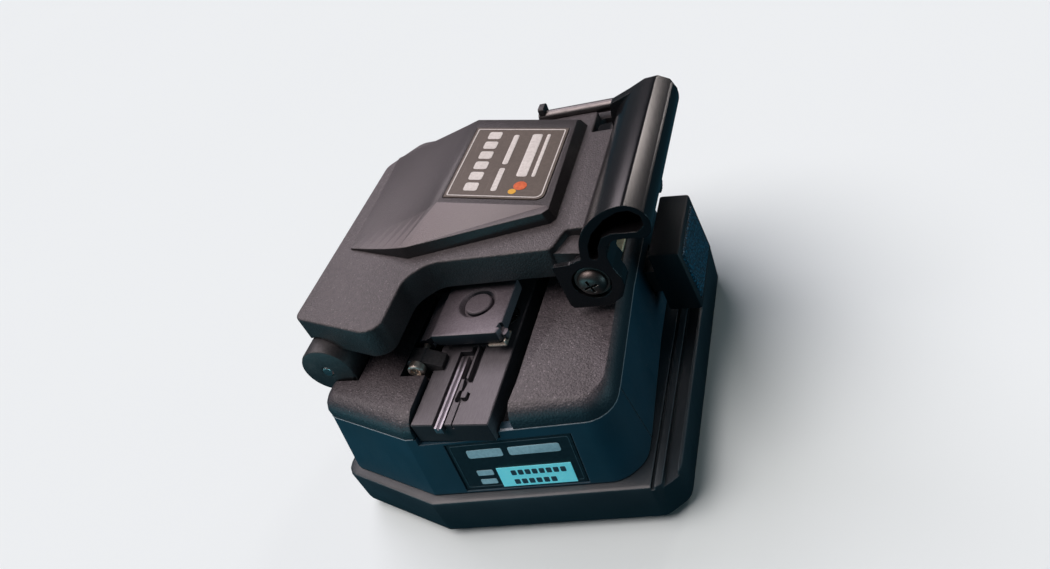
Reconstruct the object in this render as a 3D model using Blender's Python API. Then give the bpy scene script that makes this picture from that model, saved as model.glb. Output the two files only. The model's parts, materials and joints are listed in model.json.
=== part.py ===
"""Fiber cleaver: base with stepped tray and deck, fiber rail with magnetic clamp flap,
hinged lid with sloped nameplate, latch handle, blade carriage with side knob, scrap collector.

Working frame, millimetres: the fiber rail's top is z = 0, its front edge is y = 0, its middle
is close to x = 0. +X is the user's side with the handle and the slider knob, +Y runs along the
fiber, +Z is up. Every point is moved by ORIGIN and turned into metres when a mesh is made.
Hidden tool solids, named cut_001 onwards, are cut from or joined to the pieces."""
import bpy
import bmesh
import itertools
import math
from mathutils import Vector

for old in list(bpy.data.objects):
    bpy.data.objects.remove(old, do_unlink=True)

# ---------------------------------------------------------------- driving dimensions (mm)
ORIGIN = (2.044, 46.61, -35.0)   # the point of the working frame that becomes the world origin
MM = 1e-3                        # one millimetre in metres
GAP = 0.3                        # gap between neighbouring pieces
Z_FEET = -35.0                   # underside of the feet
Z_TRAY = -33.0                   # underside of the tray
Z_LEDGE = -22.0                  # top of the tray's ledge
Z_SEAM = -4.0                    # seam between housing and deck cover
Z_DECK = 1.5                     # top of the deck cover
Z_LID0, Z_LID1 = 9.0, 17.0       # underside and top of the lid
RAIL_X = (-9.5, 9.0)             # fiber rail, left and right edge
RAIL_Z = (-5.6, 0.0)             # fiber rail, underside and top
RAIL_SLOT_X = (RAIL_X[0] - 0.35, RAIL_X[1] + 0.35)
DRAFT = 2.1                      # how far the housing flares from the seam to the ledge
FRONT_SLOPE = 0.104              # the front facet recedes to the right by this much per mm
HINGE = (-34.5, 4.5)             # lid hinge axis (x, z)
PIVOT = (29.2, 10.7)             # latch handle axis (x, z)
FLAP = (-12.2, 2.0)              # clamp flap axis (x, z)
HINGE_ORIGIN = (HINGE[0], 45, HINGE[1])
PIVOT_ORIGIN = (PIVOT[0], 52, PIVOT[1])
FLAP_ORIGIN = (FLAP[0], 28, FLAP[1])


# ---------------------------------------------------------------- materials
def material(name, color, roughness, metallic=0.0):
    mat = bpy.data.materials.new(name)
    mat.use_nodes = True
    inputs = mat.node_tree.nodes["Principled BSDF"].inputs
    inputs["Base Color"].default_value = (*color, 1)
    inputs["Roughness"].default_value = roughness
    inputs["Metallic"].default_value = metallic
    mat.diffuse_color = (*color, 1)
    return mat


PAINT = material("textured_black_paint", color=(0.055, 0.055, 0.06), roughness=0.62)
BODY_PAINT = material("satin_black_paint", color=(0.02, 0.024, 0.028), roughness=0.42)
ANODISED = material("black_anodised", color=(0.03, 0.03, 0.035), roughness=0.3, metallic=0.7)
GREY = material("grey_anodised", color=(0.11, 0.11, 0.12), roughness=0.4, metallic=0.6)
STEEL = material("polished_steel", color=(0.6, 0.6, 0.6), roughness=0.22, metallic=1.0)
NICKEL = material("dark_nickel", color=(0.3, 0.28, 0.27), roughness=0.28, metallic=1.0)
BRASS = material("brass", color=(0.6, 0.48, 0.28), roughness=0.3, metallic=1.0)
TAUPE = material("nameplate_taupe", color=(0.13, 0.105, 0.085), roughness=0.5, metallic=0.2)
LABEL = material("label_film", color=(0.015, 0.035, 0.04), roughness=0.45)
STICKER = material("sticker_paper", color=(0.5, 0.72, 0.78), roughness=0.6)
RUBBER = material("rubber", color=(0.012, 0.012, 0.013), roughness=0.8)
LEATHER = material("grained_pad", color=(0.015, 0.03, 0.038), roughness=0.55)
PLASTIC = material("black_plastic", color=(0.018, 0.018, 0.02), roughness=0.5)
PAD_RUBBER = material("clamp_pad_rubber", color=(0.05, 0.05, 0.055), roughness=0.7)


# ---------------------------------------------------------------- outlines in a plane
def rect(x0, x1, y0, y1):
    return [(x0, y0), (x1, y0), (x1, y1), (x0, y1)]


def circle(center_x, center_y, radius, sides=32):
    angles = [2 * math.pi * i / sides for i in range(sides)]
    return [(center_x + radius * math.cos(a), center_y + radius * math.sin(a)) for a in angles]


def fillet(outline, radii, steps=4):
    """The outline with rounded corners; radii is one number or one per corner."""
    count = len(outline)
    if not isinstance(radii, list):
        radii = [radii] * count
    rounded = []
    for i, radius in enumerate(radii):
        corner = Vector(outline[i])
        back = Vector(outline[i - 1]) - corner
        ahead = Vector(outline[(i + 1) % count]) - corner
        shortest = min(back.length * 0.49, ahead.length * 0.49)
        back.normalize()
        ahead.normalize()
        angle = math.acos(max(-1, min(1, back.dot(ahead))))
        if radius <= 0 or angle > math.pi - 0.02:
            rounded.append(tuple(corner))
            continue
        reach = min(radius / math.tan(angle / 2), shortest)
        radius = reach * math.tan(angle / 2)
        center = corner + (back + ahead).normalized() * (radius / math.sin(angle / 2))
        first = corner + back * reach - center
        last = corner + ahead * reach - center
        start = math.atan2(first.y, first.x)
        end = math.atan2(last.y, last.x)
        turn = (end - start + math.pi) % (2 * math.pi) - math.pi
        for j in range(steps + 1):
            theta = start + turn * j / steps
            rounded.append((center.x + radius * math.cos(theta),
                            center.y + radius * math.sin(theta)))
    return rounded


def grow(outline, distance):
    """The counter-clockwise outline moved outwards by distance."""
    count = len(outline)
    grown = []
    for i in range(count):
        corner = Vector(outline[i])
        edge_in = (corner - Vector(outline[i - 1])).normalized()
        edge_out = (Vector(outline[(i + 1) % count]) - corner).normalized()
        normal_in = Vector((edge_in.y, -edge_in.x))
        normal_out = Vector((edge_out.y, -edge_out.x))
        scale = distance / (1 + normal_in.dot(normal_out))
        grown.append(tuple(corner + (normal_in + normal_out) * scale))
    return grown


def lerp(start, end, share):
    return start + share * (end - start)


# ---------------------------------------------------------------- solids
def to_world(point):
    return Vector([(value - zero) * MM for value, zero in zip(point, ORIGIN)])


def add_mesh(name, points, faces, mat, smooth=False, origin=None):
    """A mesh from points of the working frame. origin, also in the working frame, becomes the
    object's origin; without it that is the world origin."""
    mesh = bpy.data.meshes.new(name)
    base = to_world(origin) if origin else Vector((0, 0, 0))
    mesh.from_pydata([tuple(to_world(point) - base) for point in points], [], faces)
    mesh.update()
    bm = bmesh.new()
    bm.from_mesh(mesh)
    bmesh.ops.recalc_face_normals(bm, faces=bm.faces)
    bm.to_mesh(mesh)
    bm.free()
    ob = bpy.data.objects.new(name, mesh)
    ob.location = base
    bpy.context.scene.collection.objects.link(ob)
    if mat:
        mesh.materials.append(mat)
    for face in mesh.polygons:
        face.use_smooth = smooth
    return ob


def stack(name, rings, mat, smooth=False, origin=None):
    """A solid skinned over a stack of 3D outlines, closed by the first and the last."""
    count = len(rings[0])
    last = (len(rings) - 1) * count
    faces = [tuple(range(count)), tuple(range(last, last + count))]
    for low in range(0, last, count):
        high = low + count
        for i in range(count):
            j = (i + 1) % count
            faces.append((low + i, low + j, high + j, high + i))
    return add_mesh(name, sum(rings, []), faces, mat, smooth, origin)


def place(axis, outline, station):
    """Lifts an outline to 3D: (x, y) for axis z, (x, z) for axis y, (y, z) for axis x."""
    if axis == "z":
        return [(a, b, station) for a, b in outline]
    if axis == "y":
        return [(a, station, b) for a, b in outline]
    return [(station, a, b) for a, b in outline]


def prism(name, outline, axis, low, high, mat, smooth=False, origin=None, top=None):
    """The outline extruded along axis; top is the outline at high where it differs."""
    rings = [place(axis, outline, low), place(axis, top or outline, high)]
    return stack(name, rings, mat, smooth, origin)


def box(name, x, y, z, mat, origin=None):
    return prism(name, rect(*x, *y), "z", *z, mat, origin=origin)


def turned(name, axis, center, stations, mat, sides=32, origin=None):
    """A turned piece; stations are (place along the axis, radius)."""
    rings = [place(axis, circle(*center, radius, sides), at) for at, radius in stations]
    return stack(name, rings, mat, True, origin)


def rod(name, axis, center, radius, low, high, mat, sides=32, origin=None, chamfer=0):
    stations = [(low, radius), (high, radius)]
    if chamfer:
        stations = [(low, radius - chamfer), (low + chamfer, radius),
                    (high - chamfer, radius), (high, radius - chamfer)]
    return turned(name, axis, center, stations, mat, sides, origin)


# ---------------------------------------------------------------- tool solids and modifiers
TOOL_NUMBERS = itertools.count(1)


def tool_name():
    return "cut_%03d" % next(TOOL_NUMBERS)


def tool_box(x, y, z):
    return box(tool_name(), x, y, z, None)


def tool_rod(axis, center, radius, low, high, sides=32):
    return rod(tool_name(), axis, center, radius, low, high, None, sides)


def tool_prism(outline, axis, low, high):
    return prism(tool_name(), outline, axis, low, high, None)


def bevel(ob, width, segments, angle):
    """Bevels, by width in mm, the edges that bend by more than angle in degrees."""
    mod = ob.modifiers.new("bevel", "BEVEL")
    mod.width = width * MM
    mod.segments = segments
    mod.limit_method = "ANGLE"
    mod.angle_limit = math.radians(angle)
    mod.use_clamp_overlap = True


def boolean(ob, tools, operation):
    for tool in tools:
        mod = ob.modifiers.new(operation.lower(), "BOOLEAN")
        mod.operation = operation
        mod.solver = "EXACT"
        mod.object = tool
        tool.hide_render = True
        tool.display_type = "WIRE"


def cut(ob, *tools):
    boolean(ob, tools, "DIFFERENCE")


def join(ob, *tools):
    boolean(ob, tools, "UNION")


# ---------------------------------------------------------------- base
APEX = (-12.2, -0.9)             # foremost corner of the housing (x, y)


def front_y(x):
    return APEX[1] + (x - APEX[0]) * FRONT_SLOPE


# plan outlines (x, y), counter-clockwise from the front apex
BODY = [APEX, (30.5, front_y(30.5)), (34.0, 7.5), (33.9, 13.0), (32.2, 42.0), (31.6, 74.5),
        (28.0, 78.2), (-33.0, 78.2), (-36.4, 74.8), (-36.2, 6.3)]
BODY_TOP = fillet(BODY, [1.0, 6.6, 6.6, 3, 3, 3, 3.5, 3.5, 3.5, 3.0], 5)
BODY_LOW = fillet(grow(BODY, DRAFT), [1.0, 7.2, 7.2, 3, 3, 3, 4.5, 4.5, 4.5, 3.5], 5)
TRAY = [(-12.6, -5.4), (38.5, 0.3), (43.4, 5.0), (43.4, 74.0), (39.0, 82.6), (-36.0, 82.6),
        (-40.2, 78.0), (-40.2, 3.0)]
FEET = {"foot_front_left": (-31, 9), "foot_front_right": (34, 12),
        "foot_rear_right": (34, 74), "foot_rear_left": (-31, 74)}


def build_tray():
    tray = prism("base_tray", fillet(TRAY, [1.2, 4, 4, 4, 4, 4, 4, 4], 3), "z",
                 Z_TRAY, Z_LEDGE, BODY_PAINT)
    bevel(tray, 0.8, 2, 40)
    cut(tray,
        tool_prism(grow(BODY, -1.0), "z", Z_TRAY + 2.2, 0),
        tool_box((37.3, 38.1), (-10, 90), (Z_LEDGE - 0.9, 0)),     # narrow groove, right ledge
        tool_box((39.6, 42.5), (-10, 90), (Z_LEDGE - 1.5, 0)))     # wide groove beside it
    for spot in FEET.values():
        cut(tray, tool_rod("z", spot, 4.6, Z_TRAY - 1, Z_TRAY + 0.8, 28))


def facet_plate(name, x, z, depth, mat):
    """A plate on the front facet, which leans out towards its foot; depth is measured
    outwards from the facet."""
    lean = DRAFT / (Z_SEAM - Z_LEDGE)
    angle = math.atan(FRONT_SLOPE)
    rings = [[(px + out * math.sin(angle),
               front_y(px) - (Z_SEAM - pz) * lean - out * math.cos(angle), pz)
              for px, pz in rect(*x, *z)] for out in depth]
    return stack(name, rings, mat)


def build_housing():
    housing = prism("body_housing", BODY_LOW, "z", Z_LEDGE + GAP, Z_SEAM - GAP / 2, BODY_PAINT,
                    top=BODY_TOP)
    cut(housing,
        tool_prism(grow(BODY, -2.6), "z", Z_TRAY, 5),
        tool_prism(rect(50.0, 60.4, -16.2, -7.0), "x", 25, 45),    # window for the knob arm
        tool_box(RAIL_SLOT_X, (-12, 60), (-5.9, 0)))
    cut(housing, facet_plate(tool_name(), (-4.2, 24.4), (-21.3, -6.6), (-0.75, 2.0), None))
    # thin upright groove in the right flank
    cut(housing, prism(tool_name(), rect(33.55, 35.15, 12.1, 12.4), "z", -3.0, -23.0, None,
                       top=rect(35.65, 37.55, 12.6, 12.9)))


def build_label():
    facet_plate("label_panel", (-3.9, 24.1), (-21.0, -6.9), (-0.6, -0.2), LABEL)
    facet_plate("label_sticker", (5.0, 21.9), (-20.7, -14.9), (-0.14, 0.02), STICKER)


def build_bottom():
    prism("bottom_plate", fillet(grow(BODY, -2.0), 3, 3), "z", Z_TRAY + 2.5, Z_TRAY + 4.0, GREY)
    for name, spot in FEET.items():
        turned(name, "z", spot, [(Z_FEET, 3.6), (Z_FEET + 0.5, 4.1), (Z_TRAY + 0.5, 4.3)],
               RUBBER, 28)


# flat top of the deck cover (x, y); its corners match those of BODY
DECK = [(-12.4, 3.0), (29.6, 5.8), (32.3, 9.3), (32.3, 13.0), (30.6, 42.0), (30.0, 74.5),
        (27.0, 76.6), (-32.0, 76.6), (-34.8, 74.2), (-33.6, 8.6)]
# (z, share of the way from the body outline to the deck outline)
DECK_STATIONS = [(Z_SEAM + GAP / 2, 0.0), (Z_SEAM + 1.9, 0.0), (Z_SEAM + 3.4, 0.17),
                 (Z_SEAM + 4.5, 0.44), (Z_DECK - 0.32, 0.78), (Z_DECK, 1.0)]


def build_deck():
    deck_top = fillet(DECK, [2.0, 4.8, 5.2, 3, 3, 3, 3.5, 3.5, 3.5, 3.0], 5)
    rings = [[(lerp(low[0], high[0], share), lerp(low[1], high[1], share), z)
              for low, high in zip(BODY_TOP, deck_top)] for z, share in DECK_STATIONS]
    deck = stack("deck_cover", rings, PAINT)
    cut(deck,
        tool_box(RAIL_SLOT_X, (-12, 61.5), (-10, 6)),              # rail channel
        tool_prism([(9.2, -12), (12.9, -12), (12.9, 4.0), (13.35, 10.0), (13.35, 61.5),
                    (9.2, 61.5)], "z", -10, 6),                    # its widening to the right
        tool_box((-16.4, -9.6), (12.7, 41.5), (-2.6, 6)),          # flap hinge bracket
        tool_box((-42, -27.4), (12.0, 80.0), (-10, 6)),            # lid hinge
        tool_box((-24.0, 22.5), (46.2, 50.0), (-10, 6)))           # blade slot


# ---------------------------------------------------------------- fiber rail
RAIL_MAGNET = (4.6, 31.0)        # (x, y)
LOWER_PAD_X, LOWER_PAD_Z = (-4.7, -0.6), (-1.3, 0.05)
POCKET_X, POCKET_Z = (-4.9, -0.4), (-1.5, 3)


def build_rail():
    outline = fillet(rect(*RAIL_X, 0, 45.9), [0.4, 0.4, 0, 0], 2)
    rail = prism("fiber_rail", outline, "z", *RAIL_Z, GREY)
    bevel(rail, 0.25, 1, 60)
    cut(rail,
        tool_box((-4.1, -1.12), (-2, 20.6), POCKET_Z),             # slot of the V-groove bar
        tool_box((-1.3, -0.1), (12.4, 22.0), (-1.6, 3)),
        tool_box((0.4, 2.0), (11.4, 22.0), (-1.6, 3)),
        tool_box((0.42, 0.8), (-2, 6.6), (-1.2, 3)),
        # two small shaped recesses near the front
        tool_prism([(-0.9, 6.7), (-0.4, 6.0), (1.9, 6.0), (2.4, 6.6), (2.4, 8.3), (1.6, 8.8),
                    (1.5, 7.3), (0.3, 7.3), (0.2, 9.5), (-0.6, 9.2)], "z", -1.3, 3),
        tool_prism([(-0.1, 8.8), (0.5, 9.0), (0.9, 11.8), (-0.05, 12.8), (-0.4, 12.6)],
                   "z", -1.25, 3),
        tool_rod("z", RAIL_MAGNET, 3.1, -2.2, 3, 28),
        tool_box(POCKET_X, (36.2, 44.8), POCKET_Z))


def build_groove_bar():
    section = [(-3.1, -1.3), (-1.3, -1.3), (-1.3, 0.25), (-1.85, 0.25), (-2.2, -0.35),
               (-2.55, 0.25), (-3.1, 0.25)]
    bar = prism("v_groove_bar", section, "y", -1.1, 18.9, STEEL)
    # relief at the front end
    cut(bar, tool_prism([(-1.3, -1.6), (-1.0, 0.6), (-2.0, 0.6), (-1.3, -0.2)], "x", -4, 0))


def build_rail_fittings():
    box("lower_pad_front", LOWER_PAD_X, (36.4, 44.6), LOWER_PAD_Z, PAD_RUBBER)
    rod("rail_magnet", "z", RAIL_MAGNET, 2.8, -2.0, -0.1, STEEL, 28)
    block = box("rear_clamp_block", RAIL_X, (50.2, 61.0), RAIL_Z, GREY)
    bevel(block, 0.3, 1, 60)
    cut(block,
        tool_box(POCKET_X, (50.0, 58.2), POCKET_Z),
        tool_box((-3.0, -2.2), (58, 62), (-0.6, 3)))
    box("lower_pad_rear", LOWER_PAD_X, (50.4, 58.0), LOWER_PAD_Z, PAD_RUBBER)


# ---------------------------------------------------------------- clamp flap and its hinge
FLAP_BORE_R = 0.9
BRACKET_X = (-15.9, -10.2)
EAR_Y = (15.2, 19.2)             # front ear of the bracket
DISH = (0.05, 29.6)              # centre (x, y) of the round finger dish in the flap


def build_bracket():
    bracket = box("flap_hinge_bracket", BRACKET_X, (15.2, 40.6), (-2.3, -0.8), PLASTIC)
    ear = [(-15.0, -2.0), (-10.3, -2.0), (-10.3, 1.4), (-11.0, 3.6), (-14.2, 3.6), (-15.0, 2.6)]
    wedge = [(-12.5, 0.08), (-6.6, 0.08), (-6.6, 1.25), (-11.6, 3.5), (-12.5, 3.55)]
    join(bracket,
         tool_prism(rect(*BRACKET_X, -1.5, 3.4), "y", 37.4, 40.6),
         tool_prism(fillet(ear, [0, 0, 0.5, 0.8, 0.8, 0.8], 3), "y", *EAR_Y),
         tool_prism(wedge, "y", *EAR_Y))
    cut(bracket, tool_rod("y", FLAP, FLAP_BORE_R, 10, 45, 24))


def build_flap():
    plan = [(-8.9, 19.7), (7.4, 19.6), (8.2, 21.2), (8.2, 37.0), (-8.9, 37.0)]
    web = [(-12.6, 1.9), (-8.4, 3.4), (-8.4, 5.6), (-11.6, 3.9), (-13.2, 3.2)]
    tab = [(7.6, 20.7), (8.9, 20.3), (9.3, 21.0), (9.3, 22.2), (7.8, 22.6)]
    flap = prism("clamp_flap", fillet(plan, [0.5, 0.4, 0.4, 0.8, 0.8], 2), "z", 3.2, 6.4, GREY,
                 origin=FLAP_ORIGIN)
    bevel(flap, 0.4, 2, 50)
    cut(flap, tool_prism([(7.2, 21.3), (9.0, 20.9), (9.0, 23.0), (7.5, 22.6)], "z", 5.0, 9))
    join(flap,
         tool_prism(fillet(web, 0.3, 2), "y", 21.2, 36.6),
         tool_rod("y", FLAP, 1.9, 21.2, 36.6, 28),
         tool_prism(fillet(tab, 0.3, 2), "z", 3.5, 4.9))
    cut(flap,
        tool_rod("y", FLAP, FLAP_BORE_R, 15, 45, 24),
        turned(tool_name(), "z", DISH, [(5.1, 3.65), (6.0, 4.2), (6.41, 4.75), (9.0, 4.75)],
               None, 44),
        tool_rod("z", RAIL_MAGNET, 2.7, 0, 4.4, 28),
        tool_prism([(-9.2, 3.0), (-6.5, 3.0), (-9.2, 4.4)], "y", 19.0, 20.4))


def build_flap_fittings():
    turned("clamp_disc", "z", DISH, [(5.2, 3.3), (5.95, 3.3), (6.2, 3.0)], PLASTIC, 40,
           FLAP_ORIGIN)
    box("clamp_pad", (-4.4, -0.8), (22.4, 34.2), (0.45, 3.0), PAD_RUBBER, FLAP_ORIGIN)
    rod("clamp_magnet", "z", RAIL_MAGNET, 2.4, 2.3, 4.1, STEEL, 28, FLAP_ORIGIN)


def build_flap_screw():
    screw = turned("flap_hinge_screw", "y", FLAP,
                   [(13.1, 1.75), (13.35, 2.0), (14.9, 2.0), (14.91, 0.82), (40.0, 0.82)], BRASS)
    slot = rect(FLAP[0] - 0.25, FLAP[0] + 0.25, FLAP[1] - 1.1, FLAP[1] + 1.1)
    cut(screw, tool_prism(slot, "y", 13.5, 14.5), tool_rod("y", FLAP, 1.25, 12.8, 13.9, 28))


# ---------------------------------------------------------------- lid
# plan outline (x, y), counter-clockwise from the front left, and its corner radii
LID = [(-39.6, 18.0), (-18.0, 11.7), (-13.9, 13.2), (-13.9, 28.0), (-9.0, 32.7), (20.9, 32.8),
       (23.0, 39.1), (28.2, 39.1), (28.2, 77.0), (21.4, 77.0), (21.4, 86.6), (-31.5, 86.6),
       (-39.4, 77.0)]
LID_RADII = [2.5, 4.5, 3.5, 6.0, 6.0, 1.8, 1.2, 0.8, 0.8, 0.5, 1.0, 4.0, 4.0]
BARREL_R, BARREL_Y = 4.2, (21.0, 69.0)
SCREW_BORE_R = 1.32
REAR_ROD = (88.2, 17.2)          # axis (y, z) of the rod behind the lid
REAR_ROD_BORE_R = 1.6


def build_lid():
    lid = prism("lid_casting", fillet(LID, LID_RADII), "z", Z_LID0, Z_LID1, PAINT,
                origin=HINGE_ORIGIN)
    bevel(lid, 1.7, 4, 50)
    cut(lid, tool_prism(fillet(grow(LID, -2.6), 1.0, 2), "z", 0, Z_LID1 - 3.0))
    x, z = PIVOT
    knuckle = fillet([(x - 9.5, 9.2), (x, 9.2 - 2.2), (x + 3.5, z), (x, z + 3.6),
                      (x - 9.5, 15.5)], [0, 2, 3, 2, 0])
    hinge_web = rect(HINGE[0] - BARREL_R, HINGE[0] + BARREL_R, HINGE[1], 13.0)
    join(lid,
         tool_prism(rect(-12.0, 10.0, 41.0, 58.0), "z", 9.6, 15.0),     # pad beam
         tool_prism(knuckle, "y", 33.3, 41.0),
         tool_prism(knuckle, "y", 71.0, 76.9),
         tool_prism(hinge_web, "y", *BARREL_Y),
         tool_rod("y", HINGE, BARREL_R, *BARREL_Y))
    cut(lid,
        tool_rod("y", HINGE, 1.6, 10, 90, 28),
        tool_rod("y", PIVOT, SCREW_BORE_R, 32, 38.5, 24),
        tool_rod("y", PIVOT, SCREW_BORE_R, 71.8, 79, 24),
        tool_rod("y", HINGE, 7.1, 10.6, BARREL_Y[0], 36),          # room for the hinge blocks
        tool_rod("y", HINGE, 5.8, BARREL_Y[1], 78.6, 36))
    return lid


# Plinth on the lid: low side wall, front slope, ledge tilted down to the right from a ridge,
# concave ramp up to the ridge from the left.
WALL_Z, RIDGE_Z = 20.0, 25.2     # top of the side wall, height of the ridge
RAMP_X, RIDGE_X = -34.3, -7.3    # outer edge of the ramp, ridge
LEDGE_Y = (44.2, 78.4)           # ledge, near and far
LEDGE_X, LEDGE_Z = 18.2, WALL_Z + 0.15     # low edge of the ledge
LEDGE_TILT = math.atan((RIDGE_Z - LEDGE_Z) / (LEDGE_X - RIDGE_X))
RAMP_STEPS = 7
PLINTH_Z = Z_LID1 + 0.02
PLINTH_FOOT = [(-34.6, 41.2), (-15.6, 35.0), (18.6, 41.6), (19.8, 43.0), (19.6, 80.4),
               (-8.9, 80.9), (-34.7, 79.0)]     # (x, y), from the front left


def ledge_plate(name, along, y, depth, corner, mat):
    """A plate on the tilted ledge; along runs down the slope from the ridge, depth is measured
    square to it, corner is the radius at the low near corner."""
    outline = fillet(rect(*along, *y), [0.2, corner, 0.2, 0.2])
    sin, cos = math.sin(LEDGE_TILT), math.cos(LEDGE_TILT)
    rings = [[(RIDGE_X + run * cos + out * sin, py, RIDGE_Z - run * sin + out * cos)
              for run, py in outline] for out in depth]
    return stack(name, rings, mat, origin=HINGE_ORIGIN)


def build_plinth():
    points = []

    def point(x, y, z):
        points.append((x, y, z))
        return len(points) - 1

    # (share of the way from the ramp's outer edge to the ridge, share of the height)
    shares = [i / RAMP_STEPS for i in range(RAMP_STEPS + 1)]
    ramp = [(s, 0.62 * s + 0.38 * s ** 3.2) for s in shares]
    near = [point(lerp(RAMP_X, -15.0, s), lerp(41.0, 35.6, s), lerp(17.5, WALL_Z, height))
            for s, height in ramp]
    crest_near = [point(lerp(RAMP_X, RIDGE_X, s), lerp(46.0, LEDGE_Y[0], s),
                        lerp(17.5, RIDGE_Z, height)) for s, height in ramp]
    crest_far = [point(lerp(RAMP_X, RIDGE_X, s), lerp(77.0, LEDGE_Y[1], s),
                       lerp(19.0, RIDGE_Z, 0.94 * s + 0.06 * height)) for s, height in ramp]
    ledge_near = point(LEDGE_X, LEDGE_Y[0], LEDGE_Z)
    ledge_far = point(LEDGE_X, LEDGE_Y[1], LEDGE_Z)
    wall_near = point(17.6, 41.9, WALL_Z - 0.1)
    corner_near = point(18.9, 43.2, WALL_Z - 0.1)
    far_right = point(18.6, 79.6, WALL_Z - 0.6)
    far_left = point(-8.6, 79.9, RIDGE_Z - 0.9)
    far = [point(lerp(RAMP_X, RIDGE_X - 1.0, s), lerp(78.2, 79.9, s),
                 lerp(18.3, RIDGE_Z - 0.9, s)) for s in shares[:-1]] + [far_left]
    foot = [point(x, y, PLINTH_Z) for x, y in PLINTH_FOOT]

    faces = []
    for row, following in ((near, crest_near), (crest_near, crest_far), (crest_far, far)):
        for i in range(RAMP_STEPS):
            faces.append((row[i], row[i + 1], following[i + 1], following[i]))
    faces += [
        # ledge and the slopes around it
        (crest_near[-1], ledge_near, ledge_far, crest_far[-1]),
        (near[-1], wall_near, ledge_near, crest_near[-1]),
        (wall_near, corner_near, ledge_near),
        (corner_near, far_right, ledge_far, ledge_near),
        (crest_far[-1], ledge_far, far_right, far_left),
        # side walls
        (foot[0], foot[1], *reversed(near)),
        (foot[1], foot[2], wall_near, near[-1]),
        (foot[2], foot[3], corner_near, wall_near),
        (foot[3], foot[4], far_right, corner_near),
        (foot[4], foot[5], far_left, far_right),
        (foot[5], foot[6], *far),
        (foot[6], foot[0], near[0], crest_near[0], crest_far[0], far[0]),
        # underside
        tuple(reversed(foot))]
    plinth = add_mesh("lid_plinth", points, faces, PAINT, origin=HINGE_ORIGIN)
    cut(plinth, ledge_plate(tool_name(), (0.7, 25.0), (45.9, 74.7), (-0.35, 2.0), 2.2, None))
    ledge_plate("nameplate", (0.9, 24.8), (46.1, 74.5), (-0.25, 0.15), 2.0, TAUPE)


def build_lid_hinge():
    rod("lid_hinge_pin", "y", HINGE, 1.5, 12.2, 78.4, STEEL, 28, chamfer=0.3)
    for name, near, far, radius in (("hinge_block_front", 12.4, 20.7, 6.7),
                                    ("hinge_block_rear", 69.3, 77.9, 5.4)):
        block = prism(name, circle(*HINGE, radius, 36), "y", near, far, PLASTIC, True)
        bevel(block, 0.6, 2, 50)
        leg = rect(HINGE[0] - 1.0, -28.0, -3.6, 4.0)
        join(block, tool_prism(leg, "y", near + 0.3, far - 0.3))
        cut(block, tool_rod("y", HINGE, 1.52, 0, 90, 28))


def build_anvil_and_clamps():
    arm = [(-5.6, 9.3), (-5.6, 3.4), (-4.2, 0.6), (-1.2, 0.6), (0.2, 3.4), (0.2, 9.3)]
    prism("anvil_arm", fillet(arm, 0.3, 2), "y", 46.9, 49.1, STEEL, origin=HINGE_ORIGIN)
    pad_inset = 0.3
    for tag, near, far in (("front", 41.2, 46.2), ("rear", 50.0, 57.6)):
        clamp = box("upper_clamp_" + tag, (-5.6, 0.2), (near, far), (2.4, 9.3), GREY,
                    HINGE_ORIGIN)
        bevel(clamp, 0.3, 1, 50)
        box("upper_pad_" + tag, (-4.6, -0.8), (near + pad_inset, far - pad_inset), (0.45, 2.1),
            PAD_RUBBER, HINGE_ORIGIN)


def build_lid_magnets():
    spot = (18.0, 60.0)
    rod("lid_magnet", "z", spot, 3.0, 7.2, 13.7, STEEL, 28, HINGE_ORIGIN)
    turned("base_magnet", "z", spot,
           [(1.8, 3.8), (3.4, 3.8), (3.8, 3.4), (3.81, 3.0), (6.6, 3.0)], STEEL, 28)


def build_rear_rod(lid):
    """The rod behind the lid, its left lug, and the arm and right lug joined to the lid."""
    rod("rear_rod", "x", REAR_ROD, 1.55, 4.7, 33.2, NICKEL, origin=(16, *REAR_ROD),
        chamfer=0.25)
    outline = [(86.9, 14.2), (90.4, 14.2), (90.4, 19.6), (89.8, 20.2), (87.3, 20.2),
               (86.9, 19.8)]
    lug = prism("rod_lug_left", fillet(outline, 0.25, 2), "x", 5.2, 6.8, PLASTIC,
                origin=HINGE_ORIGIN)
    cut(lug, tool_rod("x", REAR_ROD, REAR_ROD_BORE_R, 0, 20))
    arm = [(14.0, 84.6), (20.6, 84.6), (22.4, 86.4), (32.8, 86.4), (32.8, 90.2), (14.0, 90.2)]
    join(lid,
         tool_prism(fillet(arm, [0, 0, 0.6, 0.5, 0.5, 0.6], 2), "z", 11.4, 14.6),
         tool_prism(fillet(rect(86.4, 90.2, 14.0, 19.4), [0, 0, 1.2, 1.2], 3), "x", 30.4, 32.8))
    cut(lid, tool_rod("x", REAR_ROD, REAR_ROD_BORE_R, 4, 34.0))


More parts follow.
